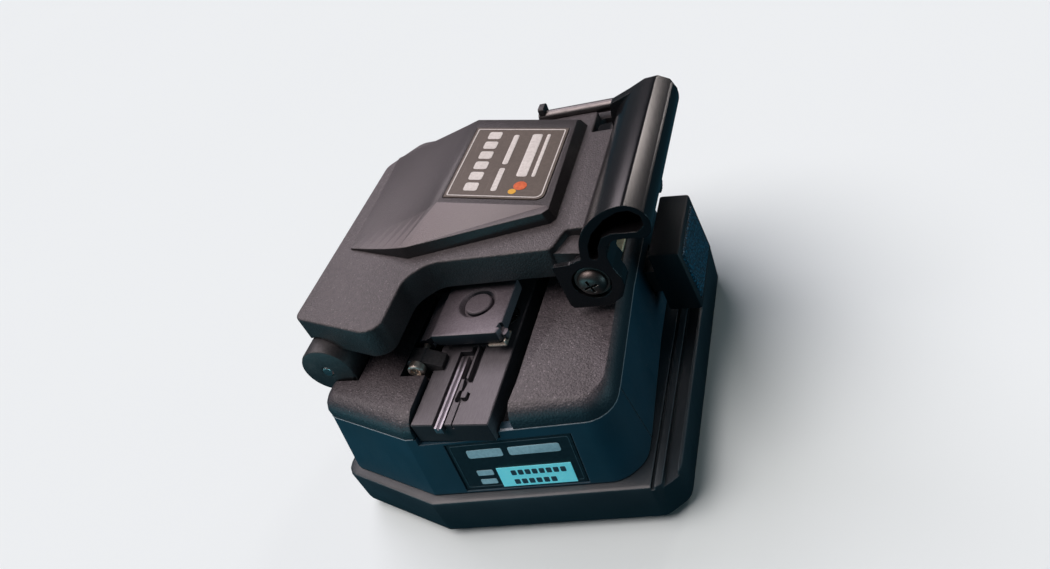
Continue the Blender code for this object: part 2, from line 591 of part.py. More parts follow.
# ---------------------------------------------------------------- latch handle
# Hollow comma-shaped extrusion with a boss at each end. All outlines are (x, z).
HANDLE_Y = (28.0, 74.8)          # near and far end of the extrusion
REAR_BOSS_Y = (77.4, 81.2)       # rear end plate
SEAT_DEPTH = 1.3                 # depth of the washer seats
PIVOT_BORE_R = 1.6
COMMA = [(29.0, 15.6), (28.9, 18.1), (29.6, 21.6), (31.2, 24.6), (34.2, 27.4), (38.0, 29.3),
         (41.5, 29.7), (44.2, 28.1), (45.4, 25.2), (44.9, 22.4), (43.4, 21.1), (39.7, 21.5),
         (36.8, 21.4), (35.0, 19.8), (34.4, 17.4), (34.7, 14.4), (35.8, 11.5), (36.0, 9.2),
         (35.2, 7.2), (33.6, 7.9), (34.2, 9.4), (34.0, 11.2), (33.2, 14.0), (33.0, 15.6)]
COMMA_RADII = [0.3, 2, 8, 10, 13.5, 9.6, 4.6, 4.6, 4.7, 2.7, 2.0, 3, 1.5, 1.5, 1.5, 1.5, 1.5,
               1.2, 0.5, 0.5, 0.8, 1, 1, 0.3]
WING = [(30.6, 15.8), (28.6, 17.0), (28.4, 20.5), (29.3, 25.6), (34.3, 27.5), (38.2, 29.2),
        (41.4, 29.4), (43.9, 27.9), (45.0, 25.2), (44.6, 22.7), (43.2, 21.5), (39.7, 21.9),
        (36.6, 21.8), (34.6, 20.0), (34.0, 17.4)]
BOSS = [(21.9, 15.9), (25.9, 16.2), (29.0, 17.4), (33.8, 17.4), (34.6, 14.3), (35.9, 11.4),
        (35.9, 8.8), (34.7, 6.2), (31.4, 3.9), (23.2, 3.9), (22.6, 4.9)]
BOSS_RADII = [0.5, 0.8, 0.5, 0.5, 1, 1.5, 1.5, 1.5, 1.0, 0.4, 0.4]
INNER_BOSS = [(26.0, 15.2), (28.0, 16.3), (29.0, 17.4), (33.8, 17.4), (34.6, 14.3),
              (35.7, 11.4), (35.7, 8.8), (34.4, 6.4), (31.4, 4.6), (27.2, 4.5), (23.6, 8.0),
              (23.4, 12.4)]
REAR_WEB = [(29.0, 15.6), (28.9, 17.3), (33.9, 17.3), (34.6, 14.4), (35.9, 11.5), (35.9, 9.2),
            (35.1, 7.2), (33.7, 7.9), (34.1, 9.4), (33.9, 11.2), (33.1, 14.0), (32.9, 15.6)]
CAVITY = [(30.7, 17.0), (31.3, 20.6), (33.0, 23.6), (36.3, 26.6), (39.4, 28.1), (41.8, 28.2),
          (43.7, 26.6), (43.8, 24.2), (42.3, 22.9), (39.9, 22.9), (36.9, 23.1), (34.6, 22.3),
          (33.2, 19.9), (32.6, 16.9)]
FRONT_SEAT_Y = HANDLE_Y[0] + SEAT_DEPTH
REAR_SEAT_Y = REAR_BOSS_Y[1] - SEAT_DEPTH
# (distance outwards from the washer seat, radius)
WASHER = [(0.02, 3.95), (0.55, 3.95), (0.75, 3.8)]
SCREW_HEAD = [(0.79, 1.5), (0.8, 3.3), (1.2, 3.25), (1.7, 2.95), (2.15, 2.5), (2.45, 1.9),
              (2.6, 1.3)]


def build_handle():
    handle = prism("latch_handle", fillet(COMMA, COMMA_RADII, 5), "y", *HANDLE_Y, ANODISED,
                   origin=PIVOT_ORIGIN)
    boss = fillet(BOSS, BOSS_RADII, 3)
    join(handle,
         tool_prism(boss, "y", HANDLE_Y[0], 29.15),
         tool_prism(fillet(INNER_BOSS, 1.0, 3), "y", 28.6, 31.2),
         tool_prism(boss, "y", *REAR_BOSS_Y),
         tool_prism(REAR_WEB, "y", 73.0, 78.0),
         tool_prism(fillet(WING, 0.5, 3), "y", 73.2, 75.8))
    cut(handle,
        tool_box((30.0, 40.0), (HANDLE_Y[0] + 4.2, 73.4), (0.0, 12.6)),
        tool_box((30.0, 36.0), (34.6, 62.0), (12.0, 15.2)),
        tool_prism(fillet(CAVITY, 0.9, 3), "y", 20, 73.9),
        tool_rod("y", PIVOT, 4.3, 20, FRONT_SEAT_Y, 36),
        tool_rod("y", PIVOT, 4.3, REAR_SEAT_Y, 90, 36),
        tool_rod("y", PIVOT, PIVOT_BORE_R, 20, 90, 28))


def build_pivot(tag, seat, outwards, shank):
    """Washer and cross-slotted screw; outwards is the sign of y away from the handle's middle,
    shank the screw's inner stations."""
    def stations(table):
        return [(seat + outwards * distance, radius) for distance, radius in table]

    washer = turned("pivot_washer_" + tag, "y", PIVOT, sorted(stations(WASHER)), NICKEL,
                    origin=PIVOT_ORIGIN)
    cut(washer, tool_rod("y", PIVOT, PIVOT_BORE_R, 20, 90, 28))
    screw = turned("pivot_screw_" + tag, "y", PIVOT, sorted(stations(SCREW_HEAD) + shank),
                   NICKEL, 28, PIVOT_ORIGIN)
    slot_y = sorted((seat + outwards * 1.6, seat + outwards * 4))
    for degrees in (20, 110):
        cos, sin = math.cos(math.radians(degrees)), math.sin(math.radians(degrees))
        slot = [(PIVOT[0] + cos * x - sin * z, PIVOT[1] + sin * x + cos * z)
                for x, z in rect(-1.7, 1.7, -0.3, 0.3)]
        cut(screw, tool_prism(slot, "y", *slot_y))


def build_pivots():
    build_pivot("front", FRONT_SEAT_Y, -1, [(32.6, 1.5), (32.61, 1.25), (38.2, 1.25)])
    build_pivot("rear", REAR_SEAT_Y, 1, [(72.0, 1.25), (76.9, 1.25), (76.91, 1.5)])


def build_striker():
    outline = [(24.6, 1.8), (30.3, 1.8), (30.3, 2.6), (27.6, 2.7), (27.1, 6.4), (25.7, 6.4),
               (25.5, 2.7), (24.6, 2.6)]
    prism("latch_striker", fillet(outline, 0.25, 2), "y", 43.0, 53.0, BRASS)


# ---------------------------------------------------------------- blade carriage and knob
GUIDES = {"guide_rod_front": (53.0, -20.0), "guide_rod_rear": (67.0, -20.0)}    # axes (y, z)
BLADE_X, BLADE_Y, BLADE_Z = BLADE = (-13.0, 48.0, -9.2)                         # disc centre
BLADE_AXIS = (BLADE_X, BLADE_Z)
BLADE_R = 8.6


def build_guides():
    for name, axis in GUIDES.items():
        rod(name, "x", axis, 1.5, -33.0, 28.9, STEEL, 28, chamfer=0.2)
    for name, left, right in (("rod_mount_left", -31.5, -26.5),
                              ("rod_mount_right", 24.5, 28.6)):
        mount = prism(name, rect(49.8, 70.2, -28.8, -17.4), "x", left, right, PLASTIC)
        cut(mount, *[tool_rod("x", axis, 1.52, -50, 50, 28) for axis in GUIDES.values()])


def build_carriage():
    carriage = prism("blade_carriage", rect(50.6, 69.8, -23.2, -16.8), "x",
                     BLADE_X - 11.5, BLADE_X + 11.5, GREY)
    bevel(carriage, 0.4, 1, 60)
    upright = fillet([(BLADE_X - 7.0, -17.5), (BLADE_X + 7.0, -17.5), (BLADE_X + 4.5, -5.9),
                      (BLADE_X - 4.5, -5.9)], [0, 0, 2, 2], 3)
    join(carriage,
         tool_prism(upright, "y", 50.6, 54.4),
         tool_prism(rect(51.2, 59.2, -15.0, -8.4), "x", BLADE_X, 35.5),     # arm to the knob
         tool_box((BLADE_X, BLADE_X + 8.0), (51.2, 59.2), (-17.2, -9.0)))
    cut(carriage,
        *[tool_rod("x", axis, 1.56, -50, 60, 28) for axis in GUIDES.values()],
        tool_rod("y", BLADE_AXIS, 1.6, 40, 60, 28),
        tool_box((35.0, 40.0), (53.0, 57.4), (-13.2, -10.2)))               # socket for the knob


def build_blade():
    disc = turned("blade_disc", "y", BLADE_AXIS,
                  [(BLADE_Y - 0.5, 7.9), (BLADE_Y - 0.08, BLADE_R), (BLADE_Y + 0.08, BLADE_R),
                   (BLADE_Y + 0.5, 7.9)], STEEL, 64, BLADE)
    cut(disc, tool_rod("y", BLADE_AXIS, 1.56, 40, 60, 28))
    hub = turned("blade_hub", "y", BLADE_AXIS, [(48.75, 4.6), (49.0, 4.8), (50.2, 4.8)],
                 BRASS, 16, BLADE)
    cut(hub, tool_rod("y", BLADE_AXIS, 1.56, 40, 60, 28))
    screw = turned("blade_axle_screw", "y", BLADE_AXIS,
                   [(46.3, 2.7), (46.5, 2.9), (47.2, 2.9), (47.21, 1.5), (54.2, 1.5)],
                   NICKEL, 28, BLADE)
    cut(screw, tool_rod("y", BLADE_AXIS, 1.2, 46.0, 46.9, 6))      # hexagon socket
    screw.modifiers[-1].object.data.shade_flat()


KNOB_TOP = (43.0, 0.4)           # upper and lower end of the knob's outer face (x, z)
KNOB_FOOT = (45.0, -17.3)
KNOB_FACE = math.dist(KNOB_TOP, KNOB_FOOT)


def knob_plate(name, inset, y, depth, mat):
    """A plate on the knob's outer face, inset from its upper and lower ends; depth is measured
    outwards from the face."""
    down_x = (KNOB_FOOT[0] - KNOB_TOP[0]) / KNOB_FACE
    down_z = (KNOB_FOOT[1] - KNOB_TOP[1]) / KNOB_FACE
    outline = fillet(rect(inset, KNOB_FACE - inset, *y), 0.8, 3)
    rings = [[(KNOB_TOP[0] + down_x * run - down_z * out, py,
               KNOB_TOP[1] + down_z * run + down_x * out) for run, py in outline]
             for out in depth]
    return stack(name, rings, mat)


def build_knob():
    knob = prism("slider_knob", [(35.7, 0.9), KNOB_TOP, KNOB_FOOT, (36.9, -17.0)], "y",
                 46.4, 68.6, ANODISED)
    bevel(knob, 0.7, 2, 40)
    join(knob, tool_box((35.2, 37.0), (53.2, 57.2), (-13.0, -10.4)))
    cut(knob, knob_plate(tool_name(), 1.6, (48.0, 67.0), (-0.7, 3.0), None))
    pad = knob_plate("knob_pad", 1.9, (48.3, 66.7), (-0.5, 0.45), LEATHER)
    bevel(pad, 0.3, 2, 50)


# ---------------------------------------------------------------- scrap collector
# It stands behind the housing.
ROLLER_LOW, ROLLER_HIGH = (88.0, -8.0), (88.0, -3.7)     # roller axes (y, z)
ROLLER_R = 2.0
SHAFT_R, SHAFT_BORE_R = 0.75, 0.76
GEAR_TEETH = 14
GEAR_X = (-27.5, -26.3)
# one tooth: (share of the tooth pitch from its middle, module multiple beyond the pitch radius)
TOOTH = [(-0.30, -1.15), (-0.17, 0.85), (0.17, 0.85), (0.30, -1.15)]
KNURL_POINTS, KNURL_RADII = 40, (3.3, 3.6)


def build_case():
    case = box("scrap_case", (-26.0, 26.0), (80.4, 95.5), (-19.6, 3.4), PLASTIC)
    bevel(case, 0.8, 2, 50)
    cut(case,
        tool_box((-24.0, 24.0), (82.2, 97.0), (-18.0, -10.6)),     # drawer bay
        tool_box((-24.0, 24.0), (82.2, 93.6), (-11.0, 1.4)),       # roller chamber
        tool_box((-22.0, 22.0), (79, 83), (-2.4, 5)),              # opening in the front wall
        tool_box((-22.0, 22.0), (84.5, 91.5), (-1, 5)),            # opening in the top
        tool_rod("x", ROLLER_LOW, 0.82, -40, 40, 24),
        tool_rod("x", ROLLER_HIGH, 0.82, -40, 40, 24))


def build_drawer():
    drawer = box("scrap_drawer", (-23.6, 23.6), (82.6, 95.2), (-17.6, -11.4), PLASTIC)
    cut(drawer, tool_box((-22.2, 22.2), (84.0, 93.9), (-16.2, 0)))
    join(drawer, tool_prism(fillet(rect(-8, 8, -16.4, -12.8), 0.6, 2), "y", 94.0, 98.6))


def build_roller(name, axis, shaft_end):
    turned(name, "x", axis,
           [(-27.6, SHAFT_R), (-22.4, SHAFT_R), (-22.39, ROLLER_R), (22.4, ROLLER_R),
            (22.41, SHAFT_R), (shaft_end, SHAFT_R)], RUBBER, 28, (0, *axis))


def build_gear(name, axis, phase):
    module = (ROLLER_HIGH[1] - ROLLER_LOW[1]) / GEAR_TEETH
    pitch_radius = module * GEAR_TEETH / 2
    pitch = 2 * math.pi / GEAR_TEETH
    outline = []
    for i in range(GEAR_TEETH):
        for share, rise in TOOTH:
            angle = phase + i * pitch + share * pitch
            radius = pitch_radius + rise * module
            outline.append((axis[0] + radius * math.cos(angle),
                            axis[1] + radius * math.sin(angle)))
    gear = prism(name, outline, "x", *GEAR_X, BRASS, origin=(0, *axis))
    cut(gear, tool_rod("x", axis, SHAFT_BORE_R, -40, 40, 24))


def build_feed():
    build_roller("feed_roller_lower", ROLLER_LOW, 28.4)
    build_roller("feed_roller_upper", ROLLER_HIGH, 25.7)
    build_gear("feed_gear_lower", ROLLER_LOW, math.pi / 2)
    # turned by half a tooth so that the two gears mesh
    build_gear("feed_gear_upper", ROLLER_HIGH, -math.pi / 2 + math.pi / GEAR_TEETH)


def build_roller_knob():
    outline = []
    for i in range(KNURL_POINTS):
        angle, radius = 2 * math.pi * i / KNURL_POINTS, KNURL_RADII[i % 2]
        outline.append((ROLLER_LOW[0] + radius * math.cos(angle),
                        ROLLER_LOW[1] + radius * math.sin(angle)))
    knob = prism("roller_knob", outline, "x", 26.6, 31.0, ANODISED, origin=(0, *ROLLER_LOW))
    cut(knob, tool_rod("x", ROLLER_LOW, SHAFT_BORE_R, 20, 28.6, 24))


# ---------------------------------------------------------------- build
# The order fixes the numbers in the tool solids' names.
build_tray()
build_housing()
build_label()
build_bottom()
build_deck()
build_rail()
build_groove_bar()
build_rail_fittings()
build_bracket()
build_flap()
build_flap_fittings()
build_flap_screw()
lid_casting = build_lid()
build_plinth()
build_lid_hinge()
build_anvil_and_clamps()
build_lid_magnets()
build_rear_rod(lid_casting)
build_handle()
build_pivots()
build_striker()
build_guides()
build_carriage()
build_blade()
build_knob()
build_case()
build_drawer()
build_feed()
build_roller_knob()
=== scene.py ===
"""Looks for a fiber cleaver: procedural finishes on its CAD parts, and fine pieces riding on its bodies.

Drawing frame, in millimetres: x to the right, y along the fiber from front to rear, z up.
Rail top is z = 0, rail front is y = 0, rail middle is x = 0.
"""
import bpy
import bmesh
import json
import math
from mathutils import Vector, Matrix, noise

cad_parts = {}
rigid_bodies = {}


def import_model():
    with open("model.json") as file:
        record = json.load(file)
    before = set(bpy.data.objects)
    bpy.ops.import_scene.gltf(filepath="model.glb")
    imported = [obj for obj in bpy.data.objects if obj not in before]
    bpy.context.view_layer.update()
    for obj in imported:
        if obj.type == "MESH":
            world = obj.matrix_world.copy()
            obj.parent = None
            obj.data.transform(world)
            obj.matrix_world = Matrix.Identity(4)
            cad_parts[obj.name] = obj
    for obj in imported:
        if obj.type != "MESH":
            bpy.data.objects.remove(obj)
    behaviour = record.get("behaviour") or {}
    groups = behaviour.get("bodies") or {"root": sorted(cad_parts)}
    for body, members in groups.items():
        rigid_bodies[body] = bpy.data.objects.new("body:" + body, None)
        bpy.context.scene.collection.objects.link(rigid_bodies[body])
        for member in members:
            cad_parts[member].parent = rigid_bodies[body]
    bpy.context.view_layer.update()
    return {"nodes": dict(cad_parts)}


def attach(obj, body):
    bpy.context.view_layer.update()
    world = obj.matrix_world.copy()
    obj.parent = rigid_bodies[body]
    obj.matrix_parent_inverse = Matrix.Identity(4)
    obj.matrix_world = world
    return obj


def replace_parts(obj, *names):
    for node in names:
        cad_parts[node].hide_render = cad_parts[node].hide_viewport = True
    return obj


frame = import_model()
NODES = frame["nodes"]


MM = 1e-3
UNDERSIDE_Z = -35.0
ORIGIN = (2.044, 46.61, UNDERSIDE_Z)  # drawing point that lies at the world origin


def place(x, y, z):
    """World position of a point of the drawing frame."""
    return Vector(((x - ORIGIN[0]) * MM, (y - ORIGIN[1]) * MM, (z - ORIGIN[2]) * MM))


# ================================================================ node graph helpers
class Graph:
    """Adds nodes to one tree; an input takes a plain value or another node's output."""

    def __init__(self, tree):
        self.tree = tree
        tree.nodes.clear()

    def node(self, kind, ins=None, **props):
        node = self.tree.nodes.new(kind)
        for key, value in props.items():
            setattr(node, key, value)
        for key, value in (ins or {}).items():
            self.put(node.inputs[key], value)
        return node

    def put(self, socket, value):
        if isinstance(value, bpy.types.NodeSocket):
            self.tree.links.new(value, socket)
        elif isinstance(value, (tuple, list)) and len(value) == 3 and socket.type == "RGBA":
            socket.default_value = (*value, 1)
        else:
            socket.default_value = value

    def camera_switch(self, seen, hidden):
        """Shader `seen` for camera rays, `hidden` for all others."""
        is_camera = self.node("ShaderNodeLightPath").outputs["Is Camera Ray"]
        return self.node("ShaderNodeMixShader", {0: is_camera, 1: hidden, 2: seen}).outputs[0]


class MaterialGraph(Graph):
    """A new material; textures use object coordinates in metres."""

    def __init__(self, name):
        self.material = bpy.data.materials.new(name)
        self.material.use_nodes = True
        super().__init__(self.material.node_tree)
        self.output = self.node("ShaderNodeOutputMaterial")
        self.coords = self.node("ShaderNodeTexCoord").outputs["Object"]

    def surface(self, shader):
        self.put(self.output.inputs["Surface"], shader)
        return self.material

    def principled(self, **ins):
        """Finish the material; underscores in input names stand for spaces."""
        named = {key.replace("_", " "): value for key, value in ins.items()}
        return self.surface(self.node("ShaderNodeBsdfPrincipled", named).outputs[0])

    def stretch(self, scale):
        return self.node("ShaderNodeMapping", {"Vector": self.coords, "Scale": scale}).outputs[0]

    def noise(self, scale, detail=2.0, rough=0.5, coords=None, out="Fac"):
        ins = {"Vector": coords or self.coords, "Scale": scale, "Detail": detail,
               "Roughness": rough}
        return self.node("ShaderNodeTexNoise", ins).outputs[out]

    def voronoi(self, scale, coords=None, feature="F1", out="Distance"):
        ins = {"Vector": coords or self.coords, "Scale": scale}
        return self.node("ShaderNodeTexVoronoi", ins, feature=feature).outputs[out]

    def math(self, operation, a, b=0.0):
        return self.node("ShaderNodeMath", {0: a, 1: b}, operation=operation).outputs[0]

    def add(self, a, b):
        return self.math("ADD", a, b)

    def sub(self, a, b):
        return self.math("SUBTRACT", a, b)

    def mul(self, a, b):
        return self.math("MULTIPLY", a, b)

    def blend(self, a, weight_a, b, weight_b):
        return self.add(self.mul(a, weight_a), self.mul(b, weight_b))

    def vector(self, operation, *values, out=0):
        ins = dict(enumerate(values))
        return self.node("ShaderNodeVectorMath", ins, operation=operation).outputs[out]

    def ramp(self, value, span, to=(0.0, 1.0)):
        """Map the range `span` onto the range `to`, clamped."""
        ins = {"Value": value, "From Min": span[0], "From Max": span[1],
               "To Min": to[0], "To Max": to[1]}
        return self.node("ShaderNodeMapRange", ins, clamp=True).outputs[0]

    def mix(self, amount, a, b):
        ins = {0: amount, 6: a, 7: b}
        return self.node("ShaderNodeMix", ins, data_type="RGBA", blend_type="MIX").outputs[2]

    def bump(self, height, normal, strength, dist):
        ins = {"Height": height, "Strength": strength, "Distance": dist, "Normal": normal}
        return self.node("ShaderNodeBump", ins).outputs[0]

    def bevel(self, radius):
        return self.node("ShaderNodeBevel", {"Radius": radius}, samples=4).outputs[0]

    def wear_and_edge_highlight(self, bevel, limit=0.995):
        """Mask that is 1 where the bevel turns the normal, on edges; it stands for rubbed wear and also
        paints an edge highlight.
        """
        normal = self.node("ShaderNodeNewGeometry").outputs["Normal"]
        dot = self.vector("DOT_PRODUCT", bevel, normal, out="Value")
        return self.ramp(dot, span=(limit, 0.80 * limit))

    def normal_part(self, axis, kind):
        normal = self.node("ShaderNodeNewGeometry").outputs[kind]
        return self.node("ShaderNodeSeparateXYZ", {"Vector": normal}).outputs[axis]

    def facing_up(self):
        return self.normal_part("Z", "Normal")

    def facing_front(self):
        return self.mul(self.normal_part("Y", "True Normal"), -1.0)


def tint(color, gain, lift=0.0):
    return tuple(min(1.0, gain * c + lift) for c in color)


# (x, z) of the handle's tube axis in object coordinates, metres
HANDLE_AXIS = (0.0109, 0.0135)
# the handle's outer curve: position angle round the axis, surface normal angle;
# degrees from straight up
HANDLE_TURN = [
    (-125, -88), (-111.8, -78.7), (-96.5, -61.9), (-76.3, -43.0), (-43.9, -26.6),
    (-3.8, -6.5), (30.3, 30.7), (62.5, 67.5), (94.5, 100.1), (121.2, 139.1), (135, 160)]


def handle_normal(g, normal):
    """Smooth normal of the handle's outer curve; other faces keep `normal`."""
    offset = g.vector("SUBTRACT", g.coords, (HANDLE_AXIS[0], 0.0, HANDLE_AXIS[1]))
    parts = g.node("ShaderNodeSeparateXYZ", {"Vector": offset}).outputs
    position = g.math("ARCTAN2", parts["X"], parts["Z"])
    # the curve works on whole turns shifted into 0 to 1
    turns = g.add(g.mul(position, 1.0 / (2 * math.pi)), 0.5)
    curve_node = g.node("ShaderNodeFloatCurve", {"Value": turns})
    points = curve_node.mapping.curves[0].points
    stations = [(p / 360 + 0.5, q / 360 + 0.5) for p, q in HANDLE_TURN]
    points[0].location = stations[0]
    points[1].location = stations[-1]
    for station in stations[1:-1]:
        points.new(*station)
    curve_node.mapping.update()
    angle = g.mul(g.sub(curve_node.outputs[0], 0.5), 2 * math.pi)
    ins = {"X": g.math("SINE", angle), "Z": g.math("COSINE", angle)}
    local = g.node("ShaderNodeCombineXYZ", ins).outputs[0]
    world_normal = g.node("ShaderNodeVectorTransform", {"Vector": local}, vector_type="NORMAL",
                          convert_from="OBJECT", convert_to="WORLD").outputs[0]
    true_normal = g.node("ShaderNodeNewGeometry").outputs["True Normal"]
    match = g.vector("DOT_PRODUCT", world_normal, true_normal, out="Value")
    ins = {0: g.ramp(match, span=(0.90, 0.95)), 4: normal, 5: world_normal}
    mixed = g.node("ShaderNodeMix", ins, data_type="VECTOR").outputs[1]
    return g.vector("NORMALIZE", mixed)


# ================================================================ finishes
# Every finish mottles between a dark and a light tone. Scales are cells per metre, and
# bevel radii and bump distances are metres.
def powder_coat(name, dark, light, grain, strength, rough, painted_glint_amount, spec, side, slope=0.0,
                wall_shade=(0.006, 0.006, 0.007)):
    """Baked powder coat: fine pebbles, bright specks that are a painted glint, edges lighter from rubbed
    wear and a painted highlight.

    side is how much of the colour upright walls keep, the rest being a painted wall shade; slope paints
    a highlight on front-leaning tops.
    """
    g = MaterialGraph(name)
    bevel = g.bevel(radius=0.0004)
    pebble = g.voronoi(grain)
    fine = g.noise(scale=grain * 1.6, detail=3, rough=0.65)
    broad = g.noise(scale=grain * 0.4)
    tone = g.ramp(g.blend(fine, 0.65, broad, 0.35), span=(0.34, 0.66))
    cloud = g.noise(scale=38.0, detail=3)
    color = g.mix(tone, dark, light)
    color = g.mix(g.ramp(cloud, span=(0.3, 0.7), to=(0.0, 0.3)), color, tint(dark, gain=0.75))
    # painted glint: a few grain cells turn bright and a little smoother, standing in for the coat's
    # sparkle
    cell = g.node("ShaderNodeSeparateColor", {"Color": g.voronoi(grain, out="Color")}).outputs[0]
    chosen = g.mul(g.ramp(cell, span=(0.86, 0.94)), g.ramp(pebble, span=(0.5, 0.2)))
    painted_glint = g.mul(chosen, painted_glint_amount)
    color = g.mix(painted_glint, color, tint(light, gain=2.6, lift=0.03))
    # edges turn lighter: partly rubbed wear, partly a painted edge highlight
    rubbed_and_lit_edge = g.mul(g.wear_and_edge_highlight(bevel), g.ramp(broad, span=(0.35, 0.65), to=(0.1, 0.55)))
    color = g.mix(rubbed_and_lit_edge, color, (0.16, 0.15, 0.155))
    # painted highlight: tops that lean to the front are lightened, standing in for the light they catch
    if slope:
        front = g.mul(g.ramp(g.facing_front(), span=(0.02, 0.34)),
                      g.ramp(g.facing_up(), span=(0.6, 0.75)))
        color = g.mix(g.mul(front, slope), color, tint(light, gain=3.2))
    # painted shade: upright walls are darkened towards a dark wall colour, standing in for the light
    # they miss
    upright = g.ramp(g.facing_up(), span=(0.25, 0.80), to=(1.0 - side, 0.0))
    color = g.mix(upright, color, wall_shade)
    height = g.blend(g.sub(1.0, pebble), 0.6, fine, 0.6)
    roughness = g.sub(g.ramp(fine, span=(0.3, 0.7), to=(rough - 0.06, rough + 0.08)),
                      g.mul(painted_glint, 0.3))
    return g.principled(Base_Color=color, Roughness=roughness, Metallic=0.0,
                        Normal=g.bump(height, bevel, strength=strength, dist=0.00012),
                        Specular_IOR_Level=spec)


def satin_paint(name, dark, light, rough, coat=0.15):
    """Smooth satin paint with a faint orange peel and polished patches."""
    g = MaterialGraph(name)
    bevel = g.bevel(radius=0.0004)
    peel = g.noise(scale=2400.0)
    cloud = g.noise(scale=60.0, detail=4, rough=0.55)
    smear = g.noise(scale=180.0, detail=3, rough=0.6, coords=g.stretch((1.0, 1.0, 0.35)))
    color = g.mix(g.ramp(cloud, span=(0.3, 0.7)), dark, light)
    # edges turn lighter: partly rubbed wear, partly a painted edge highlight
    color = g.mix(g.mul(g.wear_and_edge_highlight(bevel), 0.55), color, (0.12, 0.15, 0.17))
    roughness = g.add(g.ramp(smear, span=(0.3, 0.7), to=(rough - 0.06, rough + 0.08)),
                      g.mul(peel, 0.04))
    return g.principled(Base_Color=color, Roughness=roughness,
                        Normal=g.bump(peel, bevel, strength=0.1, dist=0.00012),
                        Coat_Weight=coat, Coat_Roughness=0.25, Specular_IOR_Level=0.45)


def anodised(name, dark, light, rough, along, strength=0.12, metal=0.75,
             edge=(0.3, 0.3, 0.32), grain=2600.0, curved=False, side=0.0):
    """Anodised aluminium: extrusion lines, fine matte etch, bright edges that are partly rubbed wear and
    partly a painted highlight.

    along squeezes the lines' noise per axis; curved smooths the handle's outer curve;
    side paints shade on the faces that look to the front.
    """
    g = MaterialGraph(name)
    bevel = g.bevel(radius=0.0003)
    wear_and_edge_highlight = g.wear_and_edge_highlight(bevel, limit=0.86 if curved else 0.995)
    normal = handle_normal(g, bevel) if curved else bevel
    rough_less, rough_more = (0.02, 0.03) if curved else (0.05, 0.09)
    spec = 0.5
    lines = g.noise(scale=grain, coords=g.stretch(along))
    etch = g.noise(scale=grain * 1.7, rough=0.6)
    cloud = g.noise(scale=70.0, detail=3)
    color = g.mix(g.ramp(g.blend(lines, 0.6, etch, 0.4), span=(0.35, 0.65)), dark, light)
    # edges turn towards the edge colour: partly rubbed wear, partly a painted edge highlight
    rubbed_and_lit_edge = g.mul(wear_and_edge_highlight, g.ramp(cloud, span=(0.35, 0.6), to=(0.2, 0.75)))
    color = g.mix(rubbed_and_lit_edge, color, edge)
    # painted shade: faces that look to the front are darkened and lose their shine
    if side:
        front = g.mul(g.ramp(g.facing_front(), span=(0.35, 0.75)), side)
        color = g.mix(front, color, (0.004, 0.008, 0.011))
        metal = g.ramp(front, span=(0.0, 1.0), to=(metal, 0.0))
        spec = g.ramp(front, span=(0.0, 1.0), to=(0.5, 0.06))
    roughness = g.ramp(g.blend(cloud, 0.5, lines, 0.5), span=(0.3, 0.7),
                       to=(rough - rough_less, rough + rough_more))
    height = g.blend(lines, 0.5, etch, 0.5)
    return g.principled(Base_Color=color, Metallic=metal, Roughness=roughness,
                        Normal=g.bump(height, normal, strength=strength, dist=0.00008),
                        Specular_IOR_Level=spec)


def machined(name, dark, light, rough, along=(0.05, 1, 1), strength=0.1, edge=None):
    """Ground or turned metal with fine tool marks, squeezed per axis by along."""
    g = MaterialGraph(name)
    bevel = g.bevel(radius=0.00018)
    marks = g.noise(scale=5200.0, detail=3, rough=0.6, coords=g.stretch(along))
    stain = g.noise(scale=160.0, detail=3, rough=0.6)
    color = g.mix(g.ramp(marks, span=(0.3, 0.7)), dark, light)
    stained = g.ramp(stain, span=(0.55, 0.8), to=(0.0, 0.35))
    color = g.mix(stained, color, tint(dark, gain=0.6))
    # edges turn lighter: partly rubbed wear, partly a painted edge highlight
    color = g.mix(g.mul(g.wear_and_edge_highlight(bevel), 0.5), color, edge or tint(light, gain=1.3))
    roughness = g.ramp(g.blend(stain, 0.5, marks, 0.5), span=(0.3, 0.7),
                       to=(rough - 0.06, rough + 0.12))
    return g.principled(Base_Color=color, Metallic=1.0, Roughness=roughness,
                        Normal=g.bump(marks, bevel, strength=strength, dist=0.00006))


def moulded(name, dark, light, rough, grain=1700.0, sheen=0.0):
    """Moulded plastic or rubber with spark-eroded grain and a little dust."""
    g = MaterialGraph(name)
    bevel = g.bevel(radius=0.0003)
    texture = g.noise(scale=grain, detail=3, rough=0.6)
    cells = g.voronoi(grain * 0.8)
    dust = g.noise(scale=240.0, detail=4, rough=0.65)
    color = g.mix(g.ramp(texture, span=(0.35, 0.65)), dark, light)
    dusty = g.ramp(dust, span=(0.6, 0.85), to=(0.0, 0.3))
    color = g.mix(dusty, color, (0.16, 0.155, 0.15))
    # edges turn lighter: partly rubbed wear, partly a painted edge highlight
    color = g.mix(g.mul(g.wear_and_edge_highlight(bevel), 0.35), color, tint(light, gain=2.4, lift=0.01))
    roughness = g.ramp(dust, span=(0.3, 0.7), to=(rough - 0.05, rough + 0.1))
    height = g.blend(texture, 0.6, cells, 0.4)
    return g.principled(Base_Color=color, Roughness=roughness, Sheen_Weight=sheen,
                        Normal=g.bump(height, bevel, strength=0.22, dist=0.0001))


